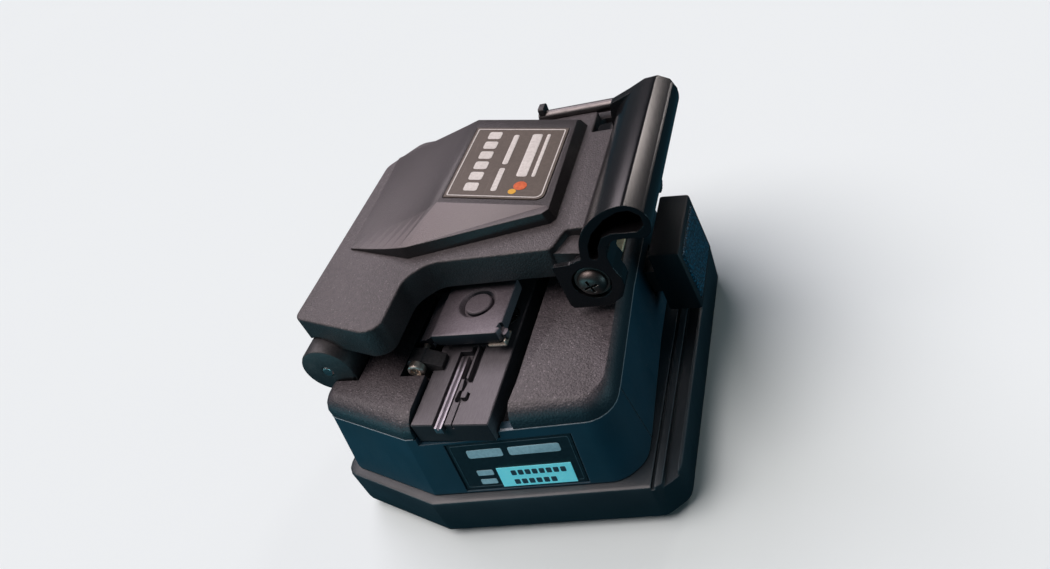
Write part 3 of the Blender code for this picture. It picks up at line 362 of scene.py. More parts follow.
def leather(name, dark, light):
    """Fine leather grain: pebbles, lighter than the creases between them."""
    g = MaterialGraph(name)
    wander = g.node("ShaderNodeVectorMath", {0: g.noise(scale=900.0, out="Color"),
                                             "Scale": 0.0006}, operation="SCALE").outputs[0]
    warped = g.vector("ADD", g.coords, wander)
    crease = g.voronoi(1050.0, coords=warped, feature="DISTANCE_TO_EDGE")
    pore = g.noise(scale=4200.0, rough=0.6)
    pebble = g.ramp(crease, span=(0.0, 0.22))
    color = g.mix(pebble, dark, light)
    patch = g.ramp(g.noise(scale=120.0, detail=3), span=(0.35, 0.75), to=(0.0, 0.4))
    color = g.mix(patch, color, tint(light, gain=0.5))
    height = g.add(pebble, g.mul(pore, 0.15))
    return g.principled(Base_Color=color,
                        Roughness=g.ramp(pebble, span=(0, 1), to=(0.65, 0.44)),
                        Normal=g.bump(height, g.bevel(radius=0.0003), strength=1.0, dist=0.0004),
                        Coat_Weight=0.15, Coat_Roughness=0.35)


def printed(name, dark, light, rough=0.5, metal=0.0, scratch=0.25, painted_glow=0.0):
    """Screen-printed plate, film or paper with slight mottling and hairline scratches."""
    g = MaterialGraph(name)
    bevel = g.bevel(radius=0.0001)
    mottle = g.noise(scale=1400.0, detail=3, rough=0.6)
    cloud = g.noise(scale=90.0, detail=3)
    hair = g.noise(scale=2600.0, detail=1, rough=0.4, coords=g.stretch((1.0, 0.03, 1.0)))
    color = g.mix(g.ramp(mottle, span=(0.35, 0.65)), dark, light)
    color = g.mix(g.ramp(cloud, span=(0.3, 0.75), to=(0.0, 0.3)), color, tint(dark, gain=0.75))
    scratched = g.mul(g.ramp(hair, span=(0.68, 0.76)), scratch)
    color = g.mix(scratched, color, tint(light, gain=1.6, lift=0.02))
    color = g.mix(g.mul(g.wear_and_edge_highlight(bevel), 0.0), color, color) if False else color
    # painted glow: the print gives off a little light of its own colour, though it is no lamp
    emission = {"Emission_Color": color, "Emission_Strength": painted_glow} if painted_glow else {}
    roughness = g.ramp(mottle, span=(0.3, 0.7), to=(rough - 0.05, rough + 0.06))
    return g.principled(Base_Color=color, Metallic=metal, Roughness=roughness,
                        Normal=g.bump(mottle, bevel, strength=0.08, dist=0.00006), **emission)


# each call gives the material's name, its dark tone and its light tone, then its settings
MATERIALS = {
    # the deck's walls take a dark teal painted shade
    "deck": powder_coat("powder_coat_deck", (0.026, 0.022, 0.025), (0.098, 0.084, 0.092),
                        grain=2000.0, strength=1.0, painted_glint_amount=0.45, rough=0.46, spec=0.55,
                        side=0.04, wall_shade=(0.006, 0.020, 0.028)),
    "lid": powder_coat("powder_coat_lid", (0.028, 0.0245, 0.0258), (0.090, 0.078, 0.082),
                       grain=2300.0, strength=0.95, painted_glint_amount=0.4, rough=0.46, spec=0.5, side=0.25),
    # the plinth gets a painted highlight on its front slope and a painted shade on its walls
    "plinth": powder_coat("powder_coat_plinth", (0.026, 0.022, 0.023), (0.062, 0.053, 0.055),
                          grain=3300.0, strength=0.55, painted_glint_amount=0.25, rough=0.42, spec=0.6,
                          side=0.10, slope=0.75),
    "body": satin_paint("satin_body_paint", (0.0025, 0.030, 0.050), (0.004, 0.042, 0.070),
                        rough=0.5),
    "tray": satin_paint("satin_tray_paint", (0.011, 0.018, 0.023), (0.018, 0.028, 0.035),
                        rough=0.36, coat=0.25),
    "handle": anodised("satin_black_anodised_handle", (0.006, 0.006, 0.007),
                       (0.012, 0.011, 0.012), rough=0.20, along=(1, 1, 1), metal=0.1,
                       strength=0.02, grain=5200.0, curved=True, edge=(0.02, 0.019, 0.019),
                       side=0.5),
    "knob": anodised("dark_anodised_knob", (0.0025, 0.005, 0.008), (0.005, 0.009, 0.013),
                     rough=0.5, metal=0.0, edge=(0.05, 0.075, 0.09), along=(1, 0.1, 1)),
    "rknob": anodised("anodised_roller_knob", (0.02, 0.02, 0.022), (0.045, 0.045, 0.05),
                      rough=0.33, along=(0.1, 1, 1)),
    "rail": anodised("bead_blasted_rail", (0.100, 0.0945, 0.103), (0.152, 0.143, 0.155),
                     rough=0.50, metal=0.25, along=(1, 0.15, 1), strength=0.08,
                     edge=(0.40, 0.37, 0.40), grain=3400.0, side=0.8),
    # the flap's light edge colour is partly a painted edge highlight; its front faces take a strong
    # painted shade
    "flap": anodised("bead_blasted_flap", (0.10, 0.088, 0.100), (0.175, 0.155, 0.173),
                     rough=0.44, metal=0.25, along=(1, 1, 1), strength=0.2,
                     edge=(0.44, 0.41, 0.43), side=0.93),
    "plate": anodised("grey_anodised_inside", (0.09, 0.09, 0.095), (0.15, 0.15, 0.155),
                      rough=0.42, metal=0.6, along=(0.06, 1, 1)),
    "groove": machined("ground_groove_bar", (0.26, 0.245, 0.265), (0.42, 0.40, 0.43),
                       rough=0.36, along=(1, 0.05, 1)),
    "rearrod": machined("dull_rear_rod", (0.10, 0.095, 0.095), (0.19, 0.178, 0.175),
                        rough=0.34, along=(0.04, 1, 1)),
    "steel": machined("ground_steel", (0.46, 0.46, 0.45), (0.66, 0.65, 0.63), rough=0.24),
    "rod": machined("polished_rod_steel", (0.36, 0.35, 0.34), (0.62, 0.6, 0.58),
                    rough=0.2, along=(0.04, 1, 1)),
    "blade": machined("honed_blade_steel", (0.55, 0.55, 0.56), (0.76, 0.76, 0.76),
                      rough=0.14, along=(1, 1, 1), strength=0.05),
    "nickel": machined("black_nickel", (0.07, 0.060, 0.056), (0.14, 0.121, 0.112),
                       rough=0.42, along=(1, 1, 1), strength=0.12, edge=(0.5, 0.46, 0.43)),
    "brass": machined("turned_brass", (0.52, 0.38, 0.2), (0.78, 0.62, 0.36),
                      rough=0.24, along=(1, 0.1, 1), strength=0.12),
    "brass_pale": machined("pale_shim", (0.38, 0.34, 0.29), (0.58, 0.53, 0.46),
                           rough=0.5, along=(1, 0.1, 1)),
    "screwhead": machined("worn_hinge_screw", (0.50, 0.43, 0.37), (0.80, 0.71, 0.63),
                          rough=0.33, along=(1, 1, 1)),
    "nameplate": printed("nameplate_taupe_print", (0.105, 0.085, 0.068), (0.135, 0.112, 0.092),
                         rough=0.52, metal=0.1),
    "gold": printed("gold_passivated_catch", (0.80, 0.66, 0.42), (0.95, 0.84, 0.62),
                    rough=0.35, metal=0.35, scratch=0.3),
    "ink": printed("light_ink", (0.66, 0.64, 0.60), (0.80, 0.78, 0.74),
                   rough=0.55, scratch=0.1),
    # the label print glows a little, as painted light
    "ink_blue": printed("label_ink_pale", (0.27, 0.44, 0.50), (0.35, 0.54, 0.60),
                        scratch=0.1, painted_glow=0.10),
    "ink_dark": printed("sticker_ink_dark", (0.02, 0.05, 0.07), (0.04, 0.09, 0.12),
                        scratch=0.1),
    "accent": printed("accent_ink_orange", (0.62, 0.10, 0.02), (0.78, 0.17, 0.04),
                      rough=0.45, scratch=0.1),
    "accent2": printed("accent_ink_yellow", (0.75, 0.38, 0.02), (0.85, 0.48, 0.05),
                       rough=0.45, scratch=0.1),
    "film": printed("label_film_dark", (0.006, 0.016, 0.022), (0.008, 0.022, 0.030),
                    rough=0.36, scratch=0.15),
    # the sticker glows a little, as painted light
    "paper": printed("sticker_film_cyan", (0.20, 0.86, 0.97), (0.26, 0.93, 1.0),
                     scratch=0.1, painted_glow=0.14),
    "film_line": printed("label_line_petrol", (0.03, 0.07, 0.09), (0.05, 0.10, 0.125),
                         rough=0.45, scratch=0.1),
    "rubber": moulded("black_rubber", (0.012, 0.012, 0.013), (0.024, 0.024, 0.025),
                      rough=0.75, sheen=0.2),
    "pad": moulded("clamp_pad_rubber", (0.035, 0.035, 0.04), (0.065, 0.065, 0.07),
                   rough=0.68, grain=2600.0, sheen=0.15),
    "leather": leather("knob_leather_grain", (0.001, 0.014, 0.024), (0.006, 0.125, 0.215)),
    "plastic": moulded("black_moulded_plastic", (0.014, 0.014, 0.016), (0.028, 0.028, 0.03),
                       rough=0.48),
    # the bead's pale grey paints the highlight along the seam
    "seam": moulded("seam_gasket_painted_highlight", (0.16, 0.19, 0.21), (0.26, 0.30, 0.33), rough=0.5),
}

# material key -> CAD parts that wear it
PARTS = {
    "deck": "deck_cover",
    "lid": "lid_casting",
    "plinth": "lid_plinth",
    "body": "body_housing",
    "tray": "base_tray",
    "handle": "latch_handle",
    "knob": "slider_knob",
    "rknob": "roller_knob",
    "rail": "fiber_rail rear_clamp_block",
    "flap": "clamp_flap clamp_disc",
    "plate": "bottom_plate upper_clamp_front upper_clamp_rear blade_carriage",
    "groove": "v_groove_bar",
    "rearrod": "rear_rod",
    "steel": "rail_magnet clamp_magnet anvil_arm lid_magnet base_magnet",
    "rod": "guide_rod_front guide_rod_rear lid_hinge_pin",
    "blade": "blade_disc",
    "nickel": "pivot_washer_front pivot_washer_rear pivot_screw_front pivot_screw_rear"
              " blade_axle_screw",
    "brass": "blade_hub feed_gear_lower feed_gear_upper",
    "screwhead": "flap_hinge_screw",
    "gold": "latch_striker",
    "nameplate": "nameplate",
    "film": "label_panel",
    "paper": "label_sticker",
    "rubber": "foot_front_left foot_front_right foot_rear_left foot_rear_right"
              " feed_roller_lower feed_roller_upper",
    "leather": "knob_pad",
    "plastic": "flap_hinge_bracket hinge_block_front hinge_block_rear rod_lug_left"
               " rod_mount_left rod_mount_right scrap_case scrap_drawer",
    "pad": "lower_pad_front lower_pad_rear clamp_pad upper_pad_front upper_pad_rear",
}
for key, parts in PARTS.items():
    for part in parts.split():
        slots = NODES[part].data.materials
        if not slots:
            slots.append(MATERIALS[key])
        for i in range(len(slots)):
            slots[i] = MATERIALS[key]


# ================================================================ smooth shading with crisp edges
def smooth_group(name, degrees):
    tree = bpy.data.node_groups.new(name, "GeometryNodeTree")
    for in_out in ("INPUT", "OUTPUT"):
        tree.interface.new_socket(name="Geometry", in_out=in_out,
                                  socket_type="NodeSocketGeometry")
    g = Graph(tree)
    source, result = g.node("NodeGroupInput"), g.node("NodeGroupOutput")
    merge = g.node("GeometryNodeMergeByDistance",
                   {"Geometry": source.outputs[0], "Distance": 2e-6})
    faces = g.node("GeometryNodeSetShadeSmooth", {"Geometry": merge.outputs[0]})
    edges = g.node("GeometryNodeSetShadeSmooth",
                   {"Geometry": faces.outputs[0], "Shade Smooth": False}, domain="EDGE")
    angle = g.node("GeometryNodeInputMeshEdgeAngle").outputs["Unsigned Angle"]
    sharp = g.node("FunctionNodeCompare", {0: angle, 1: math.radians(degrees)},
                   operation="GREATER_THAN")
    g.put(edges.inputs["Selection"], sharp.outputs[0])
    g.put(result.inputs[0], edges.outputs[0])
    return tree


SMOOTH = smooth_group("smooth_by_angle", degrees=32)


def smooth(ob):
    ob.modifiers.new("smooth_by_angle", "NODES").node_group = SMOOTH


for ob in NODES.values():
    smooth(ob)


# ================================================================ mesh helpers
def mesh_object(name, bm, material, body, by_angle=True):
    mesh = bpy.data.meshes.new(name)
    bmesh.ops.recalc_face_normals(bm, faces=bm.faces)
    bm.to_mesh(mesh)
    bm.free()
    ob = bpy.data.objects.new(name, mesh)
    bpy.context.scene.collection.objects.link(ob)
    mesh.materials.append(MATERIALS[material])
    if by_angle:
        smooth(ob)
    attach(ob, body)
    return ob


def walls(bm, rings):
    """Quads between each closed ring of vertices and the next."""
    for a, b in zip(rings[:-1], rings[1:]):
        for i in range(len(a)):
            j = (i + 1) % len(a)
            bm.faces.new((a[i], a[j], b[j], b[i]))


def inset(box, by):
    return box[0] + by, box[1] - by, box[2] + by, box[3] - by


def rounded(box, radii, seg=5):
    """Outline of the box (u0, u1, v0, v1), counter-clockwise; one radius, or one per corner."""
    u0, u1, v0, v1 = box
    if not isinstance(radii, list):
        radii = [radii] * 4
    points = []
    corners = ((u0, v0, 180), (u1, v0, 270), (u1, v1, 0), (u0, v1, 90))
    for (u, v, first), radius in zip(corners, radii):
        mid_u = u + radius if u == u0 else u - radius
        mid_v = v + radius if v == v0 else v - radius
        for j in range(seg + 1):
            a = math.radians(first + 90 * j / seg)
            points.append((mid_u + radius * math.cos(a), mid_v + radius * math.sin(a)))
    return points


def slab(bm, points, to3d, low, high):
    """A patch with a slightly drawn-in top; to3d(u, v, d) places a point at depth d."""
    mid_u = sum(p[0] for p in points) / len(points)
    mid_v = sum(p[1] for p in points) / len(points)
    rings = []
    for scale, depth in ((1, low), (1, high * 0.6 + low * 0.4), (0.985, high)):
        rings.append([bm.verts.new(to3d(mid_u + (u - mid_u) * scale,
                                        mid_v + (v - mid_v) * scale, depth))
                      for u, v in points])
    bm.faces.new(rings[0])
    bm.faces.new(rings[-1])
    walls(bm, rings)


def border(name, outer, inner, to3d, low, high, material, body, slot):
    """A raised line between two outlines with the same number of points."""
    bm = bmesh.new()
    loops = ((outer, low), (outer, high), (inner, high), (inner, low))
    rings = [[bm.verts.new(to3d(u, v, depth)) for u, v in loop] for loop, depth in loops]
    walls(bm, rings + rings[:1])
    mesh_object(name, bm, material, body)


def print_rows(name, rows, to3d, low, high, material, body, slot, along_v=False):
    """Rows of rounded blocks standing for lettering, along u or along v.

    A row is its (start, end), the span across it, relative block widths, gap, corner radius.
    """
    bm = bmesh.new()
    for (start, end), across, widths, gap, radius in rows:
        scale = (end - start) / (sum(widths) + gap * (len(widths) - 1))
        for width in widths:
            stop = start + width * scale
            box = (*across, start, stop) if along_v else (start, stop, *across)
            slab(bm, rounded(box, radius, seg=3), to3d, low, high)
            start = stop + gap * scale
    mesh_object(name, bm, material, body)


def lathe(bm, rings, to3d, sides, ripple=None):
    """Rings of (station, radius) round an axis; ripple(radius, angle) adds to the radius."""
    rows = []
    for station, radius in rings:
        row = []
        for i in range(sides):
            a = 2 * math.pi * i / sides
            r = radius + (ripple(radius, a) if ripple else 0.0)
            row.append(bm.verts.new(to3d(station, r * math.cos(a), r * math.sin(a))))
        rows.append(row)
    bm.faces.new(rows[0])
    walls(bm, rows)
    bm.faces.new(rows[-1])


# ================================================================ nameplate on the lid's ledge
RIDGE_X, RIDGE_Z = -7.3, 25.2  # upper end of the ledge
LEDGE_FOOT_X, LEDGE_FOOT_Z = 18.2, 20.15
TILT = math.atan((RIDGE_Z - LEDGE_FOOT_Z) / (LEDGE_FOOT_X - RIDGE_X))
PLATE = 0.15  # height of the nameplate's face above the ledge
NAMEPLATE_BOX = (1.45, 24.25, 46.65, 73.95)  # s0, s1, y0, y1 of the border line
NAMEPLATE_LINE = 0.3
NAMEPLATE_ROWS = [
    ((48.6, 72.6), (4.9, 8.3), [3] * 6, 1.1, 0.6),
    ((48.7, 71.4), (11.6, 13.0), [9.0, 12.5], 1.5, 0.5),
    ((54.4, 71.8), (16.3, 18.9), [1], 0, 0.6),
    ((54.4, 71.8), (20.0, 20.9), [1], 0, 0.4),
]
# name, s, y, radius, material
NAMEPLATE_DOTS = [("nameplate_dot_red", 18.3, 50.9, 1.6, "accent"),
                  ("nameplate_dot_yellow", 16.9, 48.7, 0.95, "accent2")]
ON_NAMEPLATE = {"to3d": None, "body": "lid", "slot": "nameplate_taupe"}


def on_ledge(s, y, d):
    """s runs down the slope from the ridge, d stands off the ledge."""
    return place(RIDGE_X + s * math.cos(TILT) + d * math.sin(TILT), y,
                 RIDGE_Z - s * math.sin(TILT) + d * math.cos(TILT))


ON_NAMEPLATE["to3d"] = on_ledge
border("nameplate_border_line", rounded(NAMEPLATE_BOX, [0.5, 1.7, 0.5, 0.5]),
       rounded(inset(NAMEPLATE_BOX, NAMEPLATE_LINE), [0.3, 1.45, 0.3, 0.3]),
       low=PLATE - 0.05, high=PLATE + 0.05, material="ink", **ON_NAMEPLATE)
print_rows("nameplate_print_blocks", NAMEPLATE_ROWS, low=PLATE - 0.03, high=PLATE + 0.05,
           material="ink", along_v=True, **ON_NAMEPLATE)
for name, s, y, radius, material in NAMEPLATE_DOTS:
    bm = bmesh.new()
    turn = [2 * math.pi * i / 32 for i in range(32)]
    slab(bm, [(s + radius * math.cos(a), y + radius * math.sin(a)) for a in turn],
         on_ledge, low=PLATE - 0.03, high=PLATE + 0.06)
    mesh_object(name, bm, MATERIALS and material, "lid")

# ================================================================ label on the front facet
FACET_LEFT_X, FACET_LEFT_Y = -12.2, -0.9
FACET_SLOPE = 0.104  # y gained per x
FACET_TOP_Z = -4.0
FACET_LEAN = 2.1 / 18.0  # the facet comes forward by this much per mm down
FACET_ANGLE = math.atan(FACET_SLOPE)
LABEL_BOX = (-3.3, 23.5, -20.4, -7.4)  # x0, x1, z0, z1 of the border line
LABEL_LINE = 0.15
LABEL_BACK = -0.24  # depth at which the label's print starts
LABEL_ROWS = [
    ((0.0, 21.0), (-11.4, -9.0), [8.6, 12.2], 1.5, 0.5),
    ((0.2, 4.0), (-16.9, -15.3), [1], 0, 0.3),
    ((0.2, 4.0), (-19.6, -18.1), [1], 0, 0.3),
]
STICKER_ROWS = [
    ((8.0, 20.4), (-17.3, -15.8), [1] * 8, 0.35, 0.25),
    ((8.0, 17.6), (-20.1, -18.6), [1] * 6, 0.35, 0.25),
]


def facet_y(x):
    """y of the facet's top edge."""
    return FACET_LEFT_Y + (x - FACET_LEFT_X) * FACET_SLOPE


def on_facet(x, z, d):
    y = facet_y(x) - (FACET_TOP_Z - z) * FACET_LEAN
    return place(x + d * math.sin(FACET_ANGLE), y - d * math.cos(FACET_ANGLE), z)


border("label_border_line", rounded(LABEL_BOX, 0.5), rounded(inset(LABEL_BOX, LABEL_LINE), 0.4),
       on_facet, low=LABEL_BACK, high=-0.14, material="film_line", body="base",
       slot="label_film")
print_rows("label_print_blocks", LABEL_ROWS, on_facet, low=LABEL_BACK, high=-0.13,
           material="ink_blue", body="base", slot="label_film")
print_rows("sticker_print_blocks", STICKER_ROWS, on_facet, low=0.0, high=0.06,
           material="ink_dark", body="base", slot="sticker_paper")

# ================================================================ leather-grained knob pad
KNOB_TOP = Vector((43.0, 0.4))  # (x, z) ends of the knob's right face
KNOB_X, KNOB_Z = 43.0, 0.4
KNOB_DX, KNOB_DZ = 45.0 - KNOB_X, -17.3 - KNOB_Z
KNOB_LENGTH = math.hypot(KNOB_DX, KNOB_DZ)
DOWN_X, DOWN_Z = KNOB_DX / KNOB_LENGTH, KNOB_DZ / KNOB_LENGTH
PAD_MARGIN = 1.9
PAD_Y = (48.3, 66.7)
PAD_STEPS_S, PAD_STEPS_Y = 84, 108
PAD_EDGE = 0.7  # width of the rounded edge
PEBBLES_PER_MM = 1.15


def on_knob(s, y, d):
    """s runs down the knob's right face, d stands off it."""
    return place(KNOB_X + DOWN_X * s - DOWN_Z * d, y, KNOB_Z + DOWN_Z * s + DOWN_X * d)


def knob_leather_pad():
    """A crowned sheet with pebbles, standing on its own rim."""
    bm = bmesh.new()
    s0, s1 = PAD_MARGIN, KNOB_LENGTH - PAD_MARGIN
    y0, y1 = PAD_Y
    grid = []
    for i in range(PAD_STEPS_S + 1):
        row = []
        for j in range(PAD_STEPS_Y + 1):
            u, v = i / PAD_STEPS_S, j / PAD_STEPS_Y
            s, y = s0 + u * (s1 - s0), y0 + v * (y1 - y0)
            from_rim = min(u * (s1 - s0), (1 - u) * (s1 - s0), v * (y1 - y0), (1 - v) * (y1 - y0))
            inside = min(1.0, from_rim / PAD_EDGE)
            crown = math.sqrt(max(0.0, 1 - (1 - inside) ** 2))
            q = Vector((s * PEBBLES_PER_MM, y * PEBBLES_PER_MM, 3.1))
            near = noise.voronoi(q, distance_metric="DISTANCE")[0]
            pebble = min(1.0, max(0.0, (near[1] - near[0]) / 0.28))
            ripple = 0.02 * noise.noise(q * 3.0) * inside
            d = -0.45 + 0.78 * crown + 0.1 * pebble * inside + ripple
            row.append(bm.verts.new(on_knob(s, y, d)))
        grid.append(row)
    for a, b in zip(grid[:-1], grid[1:]):
        for j in range(PAD_STEPS_Y):
            bm.faces.new((a[j], b[j], b[j + 1], a[j + 1]))
    rim = [row[0] for row in grid] + grid[-1][1:]
    rim += [row[-1] for row in grid[-2::-1]] + grid[0][-2:0:-1]
    drop = on_knob(0, 0, -0.05) - on_knob(0, 0, 0)
    foot = [bm.verts.new(v.co + drop) for v in rim]
    walls(bm, [rim, foot])
    bm.faces.new(foot)
    pad = mesh_object("knob_leather_pad", bm, "leather", "carriage",
                      by_angle=False)
    for face in pad.data.polygons:
        face.use_smooth = True
    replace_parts(pad, "knob_pad")


knob_leather_pad()

# ================================================================ ribbed rubber pads
# name, CAD part, body, x span, y span, z span, ribs, working face (1 up, -1 down)
LOWER_X, LOWER_Z = (-4.7, -0.6), (-1.3, 0.05)
UPPER_X, UPPER_Z = (-4.6, -0.8), (0.45, 2.1)
RIBBED_PADS = [
    ("clamp_pad_ribbed", "clamp_pad", "flap", (-4.4, -0.8), (22.4, 34.2), (0.45, 3.0), 12, -1),
    ("lower_front_pad_ribbed", "lower_pad_front", "base", LOWER_X, (36.4, 44.6), LOWER_Z, 9, 1),
    ("lower_rear_pad_ribbed", "lower_pad_rear", "base", LOWER_X, (50.4, 58.0), LOWER_Z, 9, 1),
    ("upper_front_pad_ribbed", "upper_pad_front", "lid", UPPER_X, (41.5, 45.9), UPPER_Z, 6, -1),
    ("upper_rear_pad_ribbed", "upper_pad_rear", "lid", UPPER_X, (50.3, 57.3), UPPER_Z, 8, -1),
]
SOFT_EDGE = 0.28  # radius of the edge round the working face
RIB_END, RIB_MARGIN = 0.4, 0.7  # rib ends and outer ribs, in from the pad's sides
RIB_HALF_WIDTH, RIB_HEIGHT = 0.24, 0.11


def ribbed_pad(name, part, body, x, y, z, ribs, face):
    bm = bmesh.new()
    outline = rounded((*x, *y), 0.45, seg=4)
    mid_x, mid_y = (x[0] + x[1]) / 2, (y[0] + y[1]) / 2
    face_z, back_z = (z[1], z[0]) if face > 0 else (z[0], z[1])

    def ring(draw_in, level):
        scale_x = 1 - draw_in / ((x[1] - x[0]) / 2)
        scale_y = 1 - draw_in / ((y[1] - y[0]) / 2)
        return [bm.verts.new(place(mid_x + (u - mid_x) * scale_x,
                                   mid_y + (v - mid_y) * scale_y, level))
                for u, v in outline]

    rings = [ring(0.0, back_z)]
    for a in (0, 0.4, 0.8, 1.2, math.pi / 2):
        rings.append(ring(SOFT_EDGE * (1 - math.cos(a)),
                          face_z - face * SOFT_EDGE * (1 - math.sin(a))))
    bm.faces.new(rings[0])
    walls(bm, rings)
    bm.faces.new(rings[-1])
    # half-round bars across the working face
    for k in range(ribs):
        rib_y = y[0] + RIB_MARGIN + (y[1] - y[0] - 2 * RIB_MARGIN) * k / (ribs - 1)
        profile = [(rib_y + RIB_HALF_WIDTH * math.cos(a), RIB_HEIGHT * math.sin(a) - 0.11)
                   for a in [math.pi * q / 6 for q in range(7)]]
        ends = [[bm.verts.new(place(end_x, v, face_z + face * d)) for v, d in profile]
                for end_x in (x[0] + RIB_END, x[1] - RIB_END)]
        bm.faces.new(ends[0])
        bm.faces.new(ends[1])
        walls(bm, ends)
    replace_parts(mesh_object(name, bm, "pad", body), part)


for row in RIBBED_PADS:
    ribbed_pad(*row)

# ================================================================ folded shim
# a thin flat leaf and an upright one, under the flap's front right corner
SHIM_FRONT_Y = 19.2
bm = bmesh.new()
slab(bm, rounded((4.5, 9.0, SHIM_FRONT_Y, 23.4), 0.25, seg=3), place, low=3.0, high=2.55)
slab(bm, rounded((SHIM_FRONT_Y, 20.1, 2.7, 4.1), 0.2, seg=3), lambda y, z, x: place(x, y, z),
     low=8.72, high=9.05)
mesh_object("flap_shim", bm, "brass_pale", "flap")

# ================================================================ ringed feet
FEET = [("front_left", -31, 9), ("front_right", 34, 12), ("rear_right", 34, 74),
        ("rear_left", -31, 74)]
# z, radius: down the outside, then in across the grooved underside
FOOT_RINGS = [
    (-32.5, 4.3), (-33.4, 4.28), (-34.0, 4.2), (-34.5, 4.02), (-34.85, 3.75),
    (UNDERSIDE_Z, 3.4), (UNDERSIDE_Z, 2.75), (-34.86, 2.62), (-34.86, 2.3),
    (UNDERSIDE_Z, 2.18), (UNDERSIDE_Z, 1.6), (-34.86, 1.47), (-34.8, 1.1), (-34.8, 0.5)]
for corner, foot_x, foot_y in FEET:
    bm = bmesh.new()
    lathe(bm, FOOT_RINGS, lambda z, u, v: place(foot_x + u, foot_y + v, z), sides=56)
    foot = mesh_object("foot_ringed_" + corner, bm, "rubber", "base")
    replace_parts(foot, "foot_" + corner)

# ================================================================ fluted feed rollers
ROLLER_Y = 88.0
FLUTES, FLUTE_DEPTH = 26, 0.11
# x, radius: left journal, then the roller's left shoulder
LEFT_JOURNAL = [(-27.6, 0.7), (-27.5, 0.75)]
LEFT_SHOULDER = [(-22.5, 0.75), (-22.4, 1.1), (-22.4, 1.78), (-22.2, 1.95)]
BARREL = [(-22.0 + 44.0 * k / 16, 1.99) for k in range(17)]
RIGHT_SHOULDER = [(-x, radius) for x, radius in reversed(LEFT_SHOULDER)]


def flutes(radius, angle):
    """Only the barrel and its rounded ends are fluted."""
    return -FLUTE_DEPTH * (0.5 - 0.5 * math.cos(FLUTES * angle)) if radius > 1.9 else 0.0


# level, axis z, x of the right end
for level, axis_z, end_x in (("lower", -8.0, 28.4), ("upper", -3.7, 25.7)):
    bm = bmesh.new()
    right_journal = [(end_x - 0.1, 0.75), (end_x, 0.7)]
    lathe(bm, LEFT_JOURNAL + LEFT_SHOULDER + BARREL + RIGHT_SHOULDER + right_journal,
          lambda x, u, v: place(x, ROLLER_Y + u, axis_z + v), sides=156, ripple=flutes)
    roller = mesh_object("feed_roller_fluted_" + level, bm, "rubber", level + "_roller")
    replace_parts(roller, "feed_roller_" + level)

# ================================================================ seam gasket
# the housing's outline seen from above, counter-clockwise: x, y, corner radius
HOUSING = [
    (FACET_LEFT_X, FACET_LEFT_Y, 1.0), (30.5, facet_y(30.5), 6.6), (34.0, 7.5, 6.6),
    (33.9, 13.0, 3), (32.2, 42.0, 3), (31.6, 74.5, 3), (28.0, 78.2, 3.5),
    (-33.0, 78.2, 3.5), (-36.4, 74.8, 3.5), (-36.2, 6.3, 3.0)]
GASKET_START_X, GASKET_END_X = 9.9, -10.4  # the front is left open between these
# outward from the housing, height above the seam
GASKET_SECTION = [(-0.5, -0.13), (0.02, -0.13), (0.09, -0.07), (0.09, 0.07), (0.02, 0.13),
                  (-0.5, 0.13)]


def round_corners(corners, seg=3):
    points = []
    for i, (x, y, radius) in enumerate(corners):
        corner = Vector((x, y))
        before = Vector(corners[i - 1][:2]) - corner
        after = Vector(corners[(i + 1) % len(corners)][:2]) - corner
        a, b = before.normalized(), after.normalized()
        half = math.acos(a.dot(b)) / 2
        # short sides limit how far the arc may reach
        reach = min(radius / math.tan(half), before.length * 0.49, after.length * 0.49)
        r = reach * math.tan(half)
        centre = corner + (a + b).normalized() * (r / math.sin(half))
        first, last = corner + a * reach - centre, corner + b * reach - centre
        a0, a1 = math.atan2(first.y, first.x), math.atan2(last.y, last.x)
        sweep = (a1 - a0 + math.pi) % (2 * math.pi) - math.pi
        for j in range(seg + 1):
            angle = a0 + sweep * j / seg
            points.append((centre.x + r * math.cos(angle), centre.y + r * math.sin(angle)))
    return points


def seam_gasket():
    """A low bead between housing and deck cover; its pale grey paints the highlight along the seam."""
    loop = round_corners(HOUSING)
    start = next(i for i, p in enumerate(loop) if p[0] > GASKET_START_X)
    run = [(GASKET_START_X, facet_y(GASKET_START_X)), *loop[start:], *loop[:start],
           (GASKET_END_X, facet_y(GASKET_END_X))]
    bm = bmesh.new()
    rows = []
    for i, (x, y) in enumerate(run):
        ahead = (Vector(run[min(len(run) - 1, i + 1)]) - Vector(run[max(0, i - 1)])).normalized()
        rows.append([bm.verts.new(place(x + ahead.y * d, y - ahead.x * d, FACET_TOP_Z + z))
                     for d, z in GASKET_SECTION])
    walls(bm, rows)
    bm.faces.new(rows[0])
    bm.faces.new(rows[-1])
    mesh_object("housing_seam_gasket", bm, "seam", "base")


seam_gasket()


# ================================================================ floor and world
def floor_material(name, seen, bounce):
    """A pale floor for the camera, and a dimmer, cooler one for light bounced to the object."""
    g = MaterialGraph(name)
    color = g.mix(g.noise(scale=6.0), tint(seen, gain=0.985), seen)
    shaders = [g.node("ShaderNodeBsdfDiffuse", {"Color": c}).outputs[0] for c in (color, bounce)]
    return g.surface(g.camera_switch(*shaders))


mesh = bpy.data.meshes.new("floor")
mesh.from_pydata([(-6, -6, 0), (6, -6, 0), (6, 6, 0), (-6, 6, 0)], [], [(0, 1, 2, 3)])
floor = bpy.data.objects.new("floor", mesh)
mesh.materials.append(floor_material("pale_floor", seen=(0.78, 0.885, 0.885),
                                     bounce=(0.012, 0.05, 0.07)))
floor.location = (0, 0, -0.0002)
bpy.context.scene.collection.objects.link(floor)

